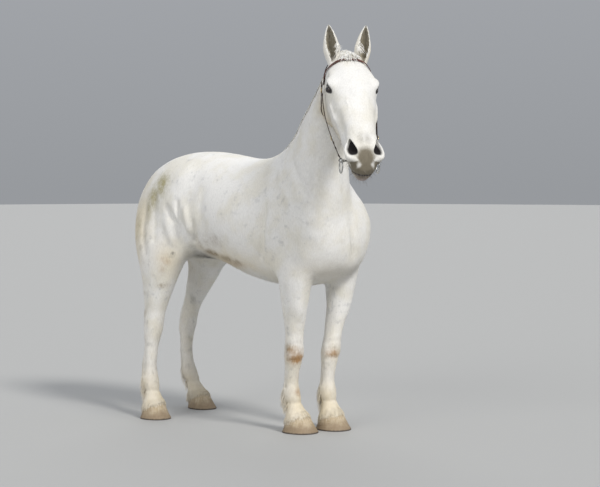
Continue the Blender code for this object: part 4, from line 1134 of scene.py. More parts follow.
def build_hoof(name):
    """The horny wall from the ground to the coronet, closed under a cupped sole."""
    leg = Leg(name)
    where, side = name.split("_")
    length, width, top_length, top_width = HOOF[where]
    middle, slope, facing = leg.coronet()
    ground = leg.near(0.03, -0.004)
    ground.z = 0
    low = [ground + leg.across * b + leg.ahead * a for a, b in superellipse(length, width, -0.1, 2.3, 72)]
    high = [
        middle + facing * 0.004 + leg.across * b + slope * a
        for a, b in superellipse(top_length - 0.006, top_width - 0.006, -0.04, 2.2, 72)
    ]
    rises = [0.0, 0.035, 0.07] + list(np.linspace(0.12, 1.0, 40))
    rings = []
    for rise in rises:
        # the wall bulges a little at each season's ring, and its lower edge is worn round
        swell = 0.0007 * math.sin(2 * math.pi * GROWTH_RINGS * rise) * smoothstep(0.08, 0.3, rise)
        worn = 0.0045 * (1 - min(1.0, rise / 0.07)) ** 2
        waist = -0.004 * math.sin(math.pi * rise)
        ring = []
        for a, b in zip(low, high):
            point = a.lerp(b, rise)
            ring.append(point + (a - ground).normalized() * (swell - worn + waist))
        rings.append(ring)
    sole = [point.lerp(ground, 0.1) for point in rings[0]]
    cupped = [point.lerp(ground, 0.35) + way(0, 0, 0.008) for point in rings[0]]
    bm = bmesh.new()
    loft(bm, [cupped, sole, *rings])
    piece(f"{where}_hoof_{side}_horn", bm, HORN, [f"{where}_hoof_{side}"])


for name in LEGS:
    build_hoof(name)

# ---- The bridle ----
# A plain snaffle bridle of dark stitched leather with a thin red-brown browband and no noseband.
# Its straps lie on the finished skin, meet in buckles and keepers, and carry the loose steel
# rings of the bit, whose mouthpiece crosses between the lips.
surface = BVHTree.FromObject(skin, bpy.context.evaluated_depsgraph_get())
STRAP_STEP = 0.007
# each strap's guide: down the face, out of it, and to its left
CROWNPIECE = (
    (0.165, -0.128, -0.15), (0.105, -0.112, -0.13), (0.05, -0.104, -0.105), (-0.005, -0.094, -0.065),
    (-0.03, -0.085, 0.0),
)
BROWBAND = ((0.134, -0.118, -0.148), (0.108, -0.05, -0.125), (0.104, 0.005, -0.075), (0.105, 0.022, 0.0))
THROATLATCH = (
    (0.145, -0.134, -0.143), (0.18, -0.23, -0.142), (0.215, -0.32, -0.115), (0.25, -0.375, -0.05),
    (0.258, -0.385, 0.0),
)
CHEEKPIECE = (
    (0.15, -0.118, 0.15), (0.252, -0.152, 0.156), (0.36, -0.182, 0.152), (0.48, -0.19, 0.137),
    (0.6, -0.184, 0.12), (0.675, -0.178, 0.107),
)
RING_RADIUS, RING_WIRE = 0.036, 0.0045
# distance from its middle and radius, along one half of the mouthpiece
MOUTHPIECE = (
    (0.0, 0.0065), (0.089, 0.007), (0.097, 0.0105), (0.106, 0.012), (0.115, 0.01), (0.119, 0.005),
)


def leather(name, face_colour, deep_colour):
    """Oiled strap leather: pebbled grain, darker in its pores, paler and smoother where it rubs."""
    nodes = Nodes(name)
    pebbles = nodes.add("TexVoronoi", {"feature": "DISTANCE_TO_EDGE"}, Scale=900.0,
                        Vector=nodes.add("TexCoord").outputs["Object"])
    cells = Value(nodes, pebbles.outputs["Distance"])
    wear, pores = grain(nodes, 40, 4), grain(nodes, 500, 3)
    colour = mixed(nodes, stepped(wear, 0.35, 0.7), deep_colour, face_colour)
    colour = mixed(nodes, stepped(pores, 0.6, 0.72) * 0.6, colour, tuple(c * 0.35 for c in deep_colour))
    bump = nodes.add("Bump", None, Strength=0.6, Distance=0.0005, Height=cells * 3 + pores + wear * 0.6)
    return nodes.finish(Base_Color=colour, Roughness=0.36 + wear * 0.34, Normal=bump.outputs[0])


def metal(name, bright, dull):
    """Polished metal with fine scratches and a little tarnish."""
    nodes = Nodes(name)
    tarnish, scratches = grain(nodes, 70, 4), grain(nodes, 900, 2, (1, 0.12, 1))
    colour = mixed(nodes, stepped(tarnish, 0.45, 0.72), bright, dull)
    bump = nodes.add("Bump", None, Strength=0.15, Distance=0.0003, Height=scratches)
    nodes.shader.inputs["Metallic"].default_value = 1.0
    return nodes.finish(Base_Color=colour, Roughness=0.16 + tarnish * 0.22, Normal=bump.outputs[0])


def thread_finish():
    """Brown waxed thread."""
    nodes = Nodes("waxed_thread")
    twist = grain(nodes, 1500, 2)
    bump = nodes.add("Bump", None, Strength=0.5, Distance=0.0002, Height=twist)
    colour = mixed(nodes, twist, (0.1, 0.065, 0.045), (0.2, 0.14, 0.1))
    return nodes.finish(Base_Color=colour, Roughness=0.65, Normal=bump.outputs[0])


DARK_LEATHER = leather("dark_strap_leather", (0.055, 0.03, 0.022), (0.022, 0.013, 0.01))
RED_LEATHER = leather("browband_leather", (0.15, 0.048, 0.036), (0.07, 0.024, 0.019))
STEEL = metal("bit_steel", (0.62, 0.62, 0.6), (0.34, 0.33, 0.31))
BRASS = metal("buckle_brass", (0.78, 0.66, 0.42), (0.42, 0.32, 0.17))
THREAD = thread_finish()


def lie_on(line, clear, snug):
    """Moves a line of points off the skin. A snug one comes down onto it as well."""
    facings = []
    for i, point in enumerate(line):
        near, normal, _, _ = surface.find_nearest(Vector(point))
        if snug or (Vector(point) - near).dot(normal) < clear:
            line[i] = near + normal * clear
        facings.append(normal)
    return np.array(facings)


def ease(rows, times):
    """Evens out a line's points, or the ways it faces, between its ends."""
    for _ in range(times):
        rows[1:-1] = (rows[:-2] + 2 * rows[1:-1] + rows[2:]) / 4
    return rows


def lay_strap(guide, thickness, lift, snug=False):
    """The strap's middle line over the skin, and the way its outer side faces at each point."""
    line = curve([face(*point) for point in guide], STRAP_STEP)
    clear = lift + thickness / 2
    for _ in range(4):
        lie_on(line, clear, snug)
        ease(line, 22)
    facings = ease(lie_on(line, clear, False), 24)
    ways = np.gradient(line, axis=0)
    ways /= np.linalg.norm(ways, axis=1)[:, None]
    facings = facings - ways * (facings * ways).sum(1)[:, None]
    facings /= np.linalg.norm(facings, axis=1)[:, None]
    return line, facings, np.cross(ways, facings)


def band(bm, line, facings, flats, width, thickness):
    """Leather of a rounded flat section along a line."""
    shape = superellipse(width / 2, thickness / 2, 0, 5, 16)
    rings = [
        [Vector(point + flat * a + out * b) for a, b in shape]
        for point, out, flat in zip(line, facings, flats)
    ]
    # both ends are skived round
    for ring, point in ((rings[0], line[0]), (rings[-1], line[-1])):
        for i, spot in enumerate(ring):
            ring[i] = spot.lerp(Vector(point), 0.25)
    loft(bm, rings)


stitches = bmesh.new()
keepers = bmesh.new()
buckles = bmesh.new()


def stitch(line, facings, flats, width, thickness, margin=0.0022, pitch=0.0045):
    """Two rows of stitches along a strap's outer side."""
    lengths = np.concatenate([[0], np.cumsum(np.linalg.norm(np.diff(line, axis=0), axis=1))])
    for place in np.arange(0.01, lengths[-1] - 0.01, pitch):
        point, out, flat = (
            np.array([np.interp(place, lengths, column) for column in rows.T])
            for rows in (line, facings, flats)
        )
        ahead = np.cross(out, flat)
        for edge in (-1, 1):
            spot = point + flat * (edge * (width / 2 - margin)) + out * (thickness / 2)
            turn = Matrix((Vector(ahead), Vector(flat), Vector(out))).transposed().to_4x4()
            size = Matrix.Diagonal((0.0016, 0.00045, 0.00045, 1))
            whole = Matrix.Translation(Vector(spot)) @ turn @ size
            bmesh.ops.create_icosphere(stitches, subdivisions=1, radius=1, matrix=whole)


def tube(bm, path, radius, closed=False, sides=10):
    """Round wire along a path."""
    path = np.array(path, float)
    ahead = np.roll(path, -1, axis=0) - np.roll(path, 1, axis=0)
    if not closed:
        ahead = np.gradient(path, axis=0)
    ahead /= np.linalg.norm(ahead, axis=1)[:, None]
    up = np.array(Vector(ahead[0]).orthogonal().normalized())
    rings = []
    for point, way_on in zip(path, ahead):
        up = up - way_on * (up @ way_on)
        up /= np.linalg.norm(up)
        aside = np.cross(way_on, up)
        turn = np.linspace(0, 2 * math.pi, sides, endpoint=False)
        rings.append([Vector(point + radius * (up * math.cos(a) + aside * math.sin(a))) for a in turn])
    if not closed:
        loft(bm, rings)
        return
    verts = [[bm.verts.new(point) for point in ring] for ring in rings]
    edges = [[bm.edges.new(pair) for pair in zip(ring, ring[1:] + ring[:1])] for ring in verts]
    bmesh.ops.bridge_loops(bm, edges=[edge for ring in edges for edge in ring], use_cyclic=True)
    bmesh.ops.recalc_face_normals(bm, faces=list({f for ring in verts for v in ring for f in v.link_faces}))


def frame_at(strap, share):
    """A point on the strap, with the ways along, across and out of it."""
    line, facings, flats, _, _ = strap
    i = int(round(share * (len(line) - 1)))
    return line[i], np.cross(facings[i], flats[i]), flats[i], facings[i]


def add_keeper(strap, share, length=0.009, spare=0.0):
    """A narrow loop of leather round a strap."""
    point, ahead, flat, out = frame_at(strap, share)
    *_, width, thickness = strap
    shape = superellipse(width / 2 + 0.0014, (thickness + spare) / 2 + 0.0019, 0, 5, 16)
    rings = [
        [Vector(point + ahead * (step * length) + flat * a * grow + out * b * grow) for a, b in shape]
        for step, grow in ((-0.5, 0.97), (-0.38, 1.0), (0.38, 1.0), (0.5, 0.97))
    ]
    loft(keepers, rings)


def add_buckle(strap, share):
    """A rounded brass frame with its bar and tongue, lying on a strap."""
    point, ahead, flat, out = frame_at(strap, share)
    *_, width, thickness = strap
    point = point + out * (thickness / 2 + 0.0022)
    outline = superellipse(0.0125, width / 2 + 0.0042, 0, 4, 40)
    tube(buckles, [point + ahead * a + flat * b for a, b in outline], 0.0017, closed=True, sides=8)
    tube(buckles, [point + flat * (s * (width / 2 + 0.004)) for s in np.linspace(-1, 1, 5)], 0.0013, sides=8)
    tongue = [
        point + ahead * (0.014 * t) + out * (0.0016 + 0.0012 * math.sin(math.pi * t))
        for t in np.linspace(0, 1, 7)
    ]
    tube(buckles, tongue, 0.0012, sides=8)


def whole_guide(half):
    """A strap's guide points on the right half, carried over the middle to the left."""
    return [*half, *((down, out, -left) for down, out, left in half[-2::-1])]


# the points at a cheekpiece's top that lie over the crownpiece, and how high the first one lies
LAP_POINTS, LAP_HEIGHT = 14, 0.0046
STRAPS = {}
# name, guide, width, thickness, lift off the skin, whether it hugs it, leather
for name, guide, width, thickness, lift, snug, finish in (
    ("crownpiece", whole_guide(CROWNPIECE), 0.028, 0.0042, 0.001, True, DARK_LEATHER),
    ("browband", whole_guide(BROWBAND), 0.015, 0.0035, 0.006, True, RED_LEATHER),
    ("throatlatch", whole_guide(THROATLATCH), 0.012, 0.003, 0.0012, False, DARK_LEATHER),
    ("cheekpiece_right", [(d, o, -l) for d, o, l in CHEEKPIECE], 0.016, 0.0034, 0.0012, False, DARK_LEATHER),
    ("cheekpiece_left", CHEEKPIECE, 0.016, 0.0034, 0.0012, False, DARK_LEATHER),
):
    line, facings, flats = lay_strap(guide, thickness, lift, snug)
    if name.startswith("cheek"):
        # its top end lies over the crownpiece's
        lap = LAP_HEIGHT * np.linspace(1, 0, LAP_POINTS) ** 0.5
        line[:LAP_POINTS] += facings[:LAP_POINTS] * lap[:, None]
    bm = bmesh.new()
    band(bm, line, facings, flats, width, thickness)
    piece(f"{name}_leather", bm, finish, [name])
    STRAPS[name] = line, facings, flats, width, thickness
    stitch(line, facings, flats, width, thickness)

for which in ("right", "left"):
    cheek = STRAPS[f"cheekpiece_{which}"]
    add_buckle(cheek, 0.7)
    add_buckle(cheek, 0.1)
    for share in (0.05, 0.155, 0.765, 0.84, 0.955):
        add_keeper(cheek, share)
for share, length in ((0.055, 0.014), (0.115, 0.008), (0.885, 0.008), (0.945, 0.014)):
    add_keeper(STRAPS["crownpiece"], share, length, 0.0008)
add_buckle(STRAPS["throatlatch"], 0.93)
add_keeper(STRAPS["throatlatch"], 0.89)
add_keeper(STRAPS["throatlatch"], 0.97)

for side, which in SIDES:
    ring_at = centre_of(f"bit_ring_{which}")
    ring = bmesh.new()
    turn = np.linspace(0, 2 * math.pi, 72, endpoint=False)
    path = [
        ring_at + FACE_DOWN * (RING_RADIUS * math.cos(a)) + FACE_OUT * (RING_RADIUS * math.sin(a))
        for a in turn
    ]
    tube(ring, path, RING_WIRE, closed=True, sides=14)
    piece(f"bit_ring_{which}_steel", ring, STEEL, [f"bit_ring_{which}"])
    # the cheekpiece's end turns round the ring and is stitched back under itself
    end, out = Vector(STRAPS[f"cheekpiece_{which}"][0][-1]), FACE_LEFT * side
    top = ring_at + (end - ring_at).normalized() * RING_RADIUS
    down = (top - end).normalized()
    around = [
        end + out * 0.0005,
        top - down * 0.004 + out * 0.0075,
        top + down * 0.0035 + out * 0.0062,
        top + down * 0.0078,
        top + down * 0.0035 - out * 0.0062,
        top - down * 0.006 - out * 0.007,
        end - out * 0.0036 - down * 0.004,
    ]
    wrap = curve(around, 0.003)
    ahead = np.gradient(wrap, axis=0)
    ahead /= np.linalg.norm(ahead, axis=1)[:, None]
    flat = np.array(down.cross(out).normalized())
    faced = np.cross(np.tile(flat, (len(wrap), 1)), ahead)
    faced *= np.sign(faced[0] @ np.array(out))
    band(keepers, wrap, faced, np.tile(flat, (len(wrap), 1)), 0.015, 0.003)

bm = bmesh.new()
half = curve([(0, *row) for row in MOUTHPIECE], 0.002)[:, 1:]
profile = [(-a, r) for a, r in half[::-1]] + [(a, r) for a, r in half[1:]]
middle = centre_of("bit_mouthpiece")
turn = np.linspace(0, 2 * math.pi, 28, endpoint=False)
spokes = [FACE_DOWN * math.cos(a) + FACE_OUT * math.sin(a) for a in turn]
loft(bm, [[middle + FACE_LEFT * a + spoke * max(r, 0.002) for spoke in spokes] for a, r in profile])
piece("bit_mouthpiece_steel", bm, STEEL, ["bit_mouthpiece"])
piece("bridle_stitching", stitches, THREAD)
piece("bridle_keepers", keepers, DARK_LEATHER)
piece("bridle_buckles", buckles, BRASS)

# ---- The coat's lie, and how hair is made ----
# Hair is solid mesh: each tuft or lock is a thin three-sided spike, bent along its own path. Many
# of them are joined into one piece, and its draws are seeded. The bake map
# gives each tuft a small patch at its root's place on an unwrap of the skin's own shape.
random = np.random.default_rng(17)
PATCH = 0.003
UNWRAP_VOXEL = 0.055
FLOOR_CLEAR = 0.0005


def unwrapped_body():
    """A coarse copy of the skin's shape with its unwrap, and a tree to find places on it."""
    proxy = link("unwrap", skin.data.copy())
    remesh = proxy.modifiers.new("coarse", "REMESH")
    remesh.mode, remesh.voxel_size = "VOXEL", UNWRAP_VOXEL
    applied(proxy)
    bpy.context.view_layer.objects.active = proxy
    proxy.select_set(True)
    bpy.ops.object.mode_set(mode="EDIT")
    bpy.ops.mesh.select_all(action="SELECT")
    bpy.ops.uv.smart_project(angle_limit=math.radians(66), island_margin=0.004)
    bpy.ops.object.mode_set(mode="OBJECT")
    mesh = proxy.data
    mesh.calc_loop_triangles()
    flat = np.empty(len(mesh.loops) * 2)
    mesh.uv_layers.active.data.foreach_get("uv", flat)
    flat = flat.reshape(-1, 2)
    corners = places(mesh)
    triangles = [tuple(triangle.vertices) for triangle in mesh.loop_triangles]
    loops = [tuple(triangle.loops) for triangle in mesh.loop_triangles]
    tree = BVHTree.FromPolygons([Vector(corner) for corner in corners], triangles)
    bpy.data.objects.remove(proxy)
    return tree, corners[np.array(triangles)], flat[np.array(loops)]


UNWRAP = unwrapped_body()


def patch_places(roots):
    """Where each root lies on the unwrap."""
    tree, triangles, flats = UNWRAP
    found = np.array([tree.find_nearest(Vector(root))[2] for root in roots])
    a, b, c = (triangles[found][:, i] for i in range(3))
    ab, ac, ar = b - a, c - a, roots - a
    d00, d01, d11 = (ab * ab).sum(1), (ab * ac).sum(1), (ac * ac).sum(1)
    d20, d21 = (ar * ab).sum(1), (ar * ac).sum(1)
    bottom = d00 * d11 - d01 * d01 + 1e-12
    v = np.clip((d11 * d20 - d01 * d21) / bottom, 0, 1)
    w = np.clip((d00 * d21 - d01 * d20) / bottom, 0, 1 - v)
    share = np.stack([1 - v - w, v, w], 1)
    return (flats[found] * share[:, :, None]).sum(1)


def spike(stations):
    """One straight three-sided spike with a station at each step, as the shape all hair is bent from."""
    bm = bmesh.new()
    turn = [2 * math.pi * i / 3 + math.pi / 2 for i in range(3)]
    rings = [[Vector((math.cos(a), math.sin(a), j)) for a in turn] for j in range(stations - 1)]
    loft(bm, rings + [[Vector((0, 0, stations - 1))] * 3])
    bmesh.ops.remove_doubles(bm, verts=bm.verts, dist=1e-6)
    bmesh.ops.dissolve_degenerate(bm, edges=bm.edges, dist=1e-6)
    corners = np.array([vert.co for vert in bm.verts])
    faces = [[vert.index for vert in face.verts] for face in bm.faces]
    bm.free()
    return corners, faces


def grow(
    name, paths, facings, widths, finish, slot,
    flatness=0.4, taper=0.75, replaced=(), follow=0.95, sky=0.0,
):
    """Joins one bent spike for each path into a piece.

    Paths: each spike's stations, root first. Flatness: its depth as a share of its width.
    Follow and sky: how far it is shaded as the skin under it, and as if it faced up.
    """
    count, stations, _ = paths.shape
    corners, faces = spike(stations)
    step = np.round(corners[:, 2]).astype(int)
    ahead = np.gradient(paths, axis=1)
    ahead /= np.linalg.norm(ahead, axis=2)[:, :, None] + 1e-9
    across = np.cross(facings[:, None, :], ahead)
    across /= np.linalg.norm(across, axis=2)[:, :, None] + 1e-9
    over = np.cross(ahead, across)
    share = step / (stations - 1)
    swell = (1 - share**2.2) ** taper * (0.55 + 0.45 * np.minimum(1, share * 4))
    size = widths[:, None] * swell[None, :] / 2
    spots = paths[:, step] + across[:, step] * (size * corners[:, 0])[:, :, None]
    spots += over[:, step] * (size * corners[:, 1] * flatness)[:, :, None]
    # no tip reaches under the floor
    spots[..., 2] = np.maximum(spots[..., 2], FLOOR_CLEAR)
    mesh = bpy.data.meshes.new(name)
    sizes = np.array([len(face) for face in faces])
    pattern = np.concatenate(faces)
    mesh.vertices.add(count * len(corners))
    mesh.vertices.foreach_set("co", spots.reshape(-1))
    mesh.loops.add(count * len(pattern))
    starts = np.arange(count)[:, None]
    indices = pattern[None, :] + starts * len(corners)
    mesh.loops.foreach_set("vertex_index", indices.reshape(-1).astype(np.int32))
    mesh.polygons.add(count * len(sizes))
    first = np.concatenate([[0], np.cumsum(sizes)[:-1]])
    firsts = first[None, :] + starts * len(pattern)
    mesh.polygons.foreach_set("loop_start", firsts.reshape(-1).astype(np.int32))
    mesh.update(calc_edges=True)
    mesh.validate()
    roots = paths[:, 0]
    layer = mesh.uv_layers.new(name="OFBake")
    local = corners[pattern][:, :2] * 0.25 + (share[pattern][:, None] - 0.5) * (0.0, 0.5)
    flat = patch_places(roots)[:, None, :] + local[None] * PATCH
    layer.data.foreach_set("uv", np.clip(flat, 0, 1).reshape(-1).astype(np.float32))
    found = markings(roots)
    found["strand"] = random.random(count)
    write_marks(mesh, {key: np.repeat(values, len(corners)) for key, values in found.items()})
    tip = mesh.attributes.new("tip", "FLOAT", "POINT")
    tip.data.foreach_set("value", np.tile(share, count).astype(np.float32))
    # short hair is shaded mostly as the skin under it, and long hair partly as if it faced up
    own = across[:, step] * (corners[:, 0] * 0.8)[None, :, None] + over[:, step] * 0.6
    facings = facings / np.linalg.norm(facings, axis=1)[:, None]
    blended = facings[:, None, :] * follow + own * (1.25 - follow) + np.array((0, 0, sky))
    blended /= np.linalg.norm(blended, axis=2)[:, :, None] + 1e-9
    # the sides turned to the skin keep their own normals, or they go black where they are seen
    under = np.repeat([corners[face, 1].max() < 0.01 for face in faces], sizes)
    beneath = across[:, step] * (corners[:, 0] * 0.4)[None, :, None] - over[:, step]
    turned = np.where(under[None, :, None], beneath[:, pattern], blended[:, pattern])
    mesh.normals_split_custom_set(turned.reshape(-1, 3))
    made = link(name, mesh)
    mesh.materials.append(finish)
    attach(made, "root")
    if replaced:
        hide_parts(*replaced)


skin.data.calc_loop_triangles()
SKIN_POINTS, SKIN_FACINGS = places(skin.data), places(skin.data, "normal")
found = np.empty(len(skin.data.loop_triangles) * 3, dtype=np.int32)
skin.data.loop_triangles.foreach_get("vertices", found)
SKIN_TRIANGLES = found.reshape(-1, 3)
a, b, c = (SKIN_POINTS[SKIN_TRIANGLES[:, i]] for i in range(3))
SKIN_AREAS = np.linalg.norm(np.cross(b - a, c - a), axis=1) / 2
SKIN_MIDDLES = (a + b + c) / 3


def scatter(count, weight):
    """Random places on the skin, by a weight for each of its triangles, and how they face."""
    odds = SKIN_AREAS * weight
    picked = random.choice(len(odds), size=count, p=odds / odds.sum())
    share = random.random((count, 2))
    share = np.where(share.sum(1)[:, None] > 1, 1 - share, share)
    share = np.column_stack([1 - share.sum(1), share])
    corners = SKIN_TRIANGLES[picked]
    points = (SKIN_POINTS[corners] * share[:, :, None]).sum(1)
    facings = (SKIN_FACINGS[corners] * share[:, :, None]).sum(1)
    return points, facings / np.linalg.norm(facings, axis=1)[:, None]


def along_skin(ways, facings):
    """Ways laid down flat on the skin."""
    ways = ways - facings * (ways * facings).sum(1)[:, None]
    return ways / (np.linalg.norm(ways, axis=1)[:, None] + 1e-9)


def lie(points, facings):
    """The way the hair lies: down the face, back along the body, down the legs, up the ears."""
    head = head_share(points)[:, None]
    features = on_face(points)
    level = points[:, 2]
    up_neck = smoothstep(1.75, 2.1, level)[:, None]
    body = np.array(way(-1, 0, -0.45))[None, :] + np.array(way(0.35, 0, -1.0)) * up_neck
    leg = smoothstep(1.12, 0.85, level)[:, None]
    ways = body * (1 - leg) + np.array(way(-0.12, 0, -1)) * leg
    aside = np.sign(features[:, 2:]) * np.minimum(np.abs(features[:, 2:]) * 5, 0.5)
    on_head = np.array(FACE_DOWN) + np.array(FACE_LEFT) * aside - np.array(FACE_OUT) * 0.25
    ways = ways * (1 - head) + on_head * head
    up_ear = np.array(face_way(-0.8, 0.56, 0))
    ear = smoothstep(0.03, -0.03, features[:, 0]) * smoothstep(0.04, 0.07, np.abs(features[:, 2]))
    ear = ear[:, None] * head
    ways = ways * (1 - ear) + up_ear * ear
    ways = ways + random.normal(0, 0.16, ways.shape)
    return along_skin(ways, facings)


def lying_paths(points, facings, lengths, rise, stations=4):
    """Short hair that leaves the skin at a low angle and bends back along it."""
    ways = lie(points, facings)
    t = np.linspace(0, 1, stations)[None, :, None]
    lift = np.array(rise)[:, None, None] * (1.9 * t - 1.2 * t**2)
    return points[:, None] + ways[:, None] * (lengths[:, None, None] * t) + facings[:, None] * (lift - 0.0012)


def coat_finish():
    """Fine hair with the skin's own markings, each tuft a little lighter or darker than the next."""
    nodes = Nodes("white_hair")
    colour, fine, _ = coat_colour(nodes)
    strand, tip = mark(nodes, "strand"), mark(nodes, "tip")
    # each tuft is painted darker towards its root, as painted shade where it goes under the coat, and given a
    # random tone of its own
    colour = mixed(nodes, (1 - tip) * 0.1 + strand * 0.12, colour, (0.52, 0.5, 0.46), "MULTIPLY")
    return nodes.finish(Base_Color=colour, Roughness=0.62 + fine * 0.12)


COAT_HAIR = coat_finish()
SKIN_HORSE = of_horse(SKIN_MIDDLES)
SKIN_FACE = on_face(SKIN_MIDDLES)
SKIN_HEAD = head_share(SKIN_MIDDLES)
SKIN_FACING_UP = SKIN_FACINGS[SKIN_TRIANGLES].mean(1)[:, 2]
SKIN_LEVEL = SKIN_MIDDLES[:, 2]
bare = np.ones(len(SKIN_MIDDLES))
for side, _ in SIDES:
    bare *= smoothstep(0.03, 0.04, away_from(SKIN_MIDDLES, EYE_SEAT[side]))
    bare *= smoothstep(0.034, 0.05, away_from(SKIN_MIDDLES, NOSTRIL[side][0]))
# no tufts on the eyes, in the nostrils, inside the ears, or on the ears' thin upper halves
HAIRED = bare * (1 - markings(SKIN_MIDDLES)["olive"]) * (SKIN_FACE[:, 0] > -0.12)

# ---- The short coat ----
# Winter coat about 15 mm long on the body, a third of that on the face and lower legs, lying
# flat. It is longer and looser under the jaw, on the breast and belly and on the cannons.
COAT_FLATNESS = 0.12
ON_BODY = (1 - SKIN_HEAD) * (SKIN_LEVEL > 0.34)
UNDERSIDE = 1 + 2.5 * smoothstep(0.1, -0.7, SKIN_FACING_UP)
QUARTERS, RIGHT = ON_BODY * (SKIN_HORSE[:, 0] < -0.3), SKIN_HORSE[:, 1] < -0.05
BARREL = ON_BODY * UNDERSIDE * (np.abs(SKIN_HORSE[:, 0] + 0.02) <= 0.28)
FOREHAND = ON_BODY * UNDERSIDE * (SKIN_HORSE[:, 0] > 0.26) * (SKIN_LEVEL < 1.45)
NECK = (1 - SKIN_HEAD) * (SKIN_LEVEL > 1.4) * (SKIN_HORSE[:, 0] > 0.26)
FACE = SKIN_HEAD * HAIRED * (0.5 + 0.5 * (SKIN_FACE[:, 0] < 0.6))
FEET = (SKIN_LEVEL < 0.36) * (SKIN_LEVEL > 0.075)
# name, where it grows, tufts, their length and width, and how high they rise
for name, weight, count, length, width, rise in (
    ("coat_quarters_right", QUARTERS * RIGHT, 11000, 0.015, 0.0028, 0.0023),
    ("coat_quarters_left", QUARTERS * ~RIGHT, 9000, 0.015, 0.0028, 0.0023),
    ("coat_barrel", BARREL, 14000, 0.016, 0.0028, 0.0023),
    ("coat_forehand", FOREHAND, 15000, 0.015, 0.0026, 0.0023),
    ("coat_neck", NECK, 13000, 0.016, 0.0026, 0.0023),
    ("coat_head", FACE, 15000, 0.0075, 0.0016, 0.0014),
    ("coat_feet", FEET, 9000, 0.013, 0.0022, 0.003),
):
    points, facings = scatter(count, weight)
    lengths = length * random.uniform(0.7, 1.35, count)
    rises = rise * random.uniform(0.5, 1.4, count)
    paths = lying_paths(points, facings, lengths, rises, 3)
    widths = width * random.uniform(0.7, 1.3, count)
    grow(name, paths, facings, widths, COAT_HAIR, "coat", COAT_FLATNESS)

# looser hair where the outline shows it: jaw and throat, breast, belly and cannons
JAW = SKIN_HEAD * smoothstep(-0.17, -0.24, SKIN_FACE[:, 1]) * smoothstep(0.62, 0.45, SKIN_FACE[:, 0])
BELLY = (1 - SKIN_HEAD) * smoothstep(-0.55, -0.85, SKIN_FACING_UP) * (SKIN_LEVEL > 0.86)
CANNON = (SKIN_LEVEL > 0.16) * (SKIN_LEVEL < 0.6)
BREAST = (1 - SKIN_HEAD) * smoothstep(0.62, 0.75, SKIN_HORSE[:, 0]) * smoothstep(1.35, 1.15, SKIN_LEVEL)
BREAST = BREAST * (SKIN_LEVEL > 0.98)
LOOSE_TUFTS, LOOSE_STATIONS = 9000, 4
points, facings = scatter(LOOSE_TUFTS, JAW * 2.0 + BELLY * 1.0 + BREAST * 0.5 + CANNON * 0.6)
lengths = random.uniform(0.012, 0.026, LOOSE_TUFTS) * np.where(points[:, 2] < 0.62, 0.75, 1.0)
rises = random.uniform(0.003, 0.0075, LOOSE_TUFTS)
paths = lying_paths(points, facings, lengths, rises, LOOSE_STATIONS)
# they hang a little under their own weight
paths[:, :, 2] -= (lengths[:, None] * np.linspace(0, 1, LOOSE_STATIONS)[None, :] ** 2) * 0.22
widths = random.uniform(0.0014, 0.0026, LOOSE_TUFTS)
grow("coat_loose_hair", paths, facings, widths, COAT_HAIR, "coat", 0.2)

# ---- Long hair: mane, forelock and tail ----
# The mane is thin and white, about 20 cm long, and falls to the right. The forelock is clipped to
# a small tuft behind the browband, and the tail is full and hangs down behind the thighs.


def long_hair_finish():
    """White horsehair with cream and grey strands, yellowed towards the tip."""
    nodes = Nodes("long_white_hair")
    strand, tip = mark(nodes, "strand"), mark(nodes, "tip")
    fine = grain(nodes, 380, 3, (1, 1, 0.12))
    colour = mixed(nodes, stepped(strand, 0.45, 1.0), (0.93, 0.925, 0.9), (0.84, 0.8, 0.7))
    colour = mixed(nodes, stepped(strand, 0.0, 0.1) * -0.5 + 0.5, colour, (0.66, 0.65, 0.62))
    colour = mixed(nodes, stepped(fine, 0.35, 0.7) * 0.22, colour, (0.6, 0.57, 0.52), "MULTIPLY")
    colour = mixed(nodes, stepped(tip, 0.75, 1.0) * 0.2, colour, (0.66, 0.58, 0.46))
    bump = nodes.add("Bump", None, Strength=0.35, Distance=0.0006, Height=fine)
    return nodes.finish(Base_Color=colour, Roughness=0.5 + fine * 0.15, Normal=bump.outputs[0])


LONG_HAIR = long_hair_finish()
NECK_ROOT, NECK_YAW = 0.33, math.radians(25)
# how far the crest reaches from the withers, and its height
CREST = (
    (-0.16, 1.7), (-0.04, 1.765), (0.07, 1.845), (0.18, 1.925), (0.31, 2.015), (0.44, 2.1), (0.55, 2.176),
    (0.635, 2.236), (0.72, 2.286), (0.79, 2.296),
)


def neck_point(reach, up, left=0.0):
    """A point in the neck's bent plane, by its reach from the withers."""
    bend = NECK_YAW * min(1.0, max(0.0, (reach + 0.1) / 0.35))
    sideways = reach * math.sin(bend) if reach > 0 else 0.0
    return at(NECK_ROOT + reach * math.cos(bend), left - sideways, up)


def hang(roots, first, lengths, clear, stations, weight=0.5, pull=0.0):
    """Paths that leave their roots, fall under their own weight and rest on the skin."""
    count = len(roots)
    paths = np.empty((count, stations, 3))
    paths[:, 0] = roots
    ways = first / np.linalg.norm(first, axis=1)[:, None]
    fall = np.array((0, 0, -1.0))
    for step in range(1, stations):
        ways = ways + fall * weight + random.normal(0, 0.05, ways.shape)
        ways /= np.linalg.norm(ways, axis=1)[:, None]
        spots = paths[:, step - 1] + ways * (lengths / (stations - 1))[:, None]
        for i in range(count):
            near, normal, _, _ = surface.find_nearest(Vector(spots[i]))
            off = (Vector(spots[i]) - near).dot(normal)
            gap = clear[i] * min(1.0, step / 2)
            if off < gap:
                spots[i] = near + normal * gap
            elif pull and off > gap:
                spots[i] = Vector(spots[i]) - normal * ((off - gap) * pull)
        ways = spots - paths[:, step - 1]
        ways /= np.linalg.norm(ways, axis=1)[:, None] + 1e-9
        paths[:, step] = spots
    return paths


def facings_at(points):
    """How the skin nearest to each point faces."""
    return np.array([surface.find_nearest(Vector(point))[1] for point in points])


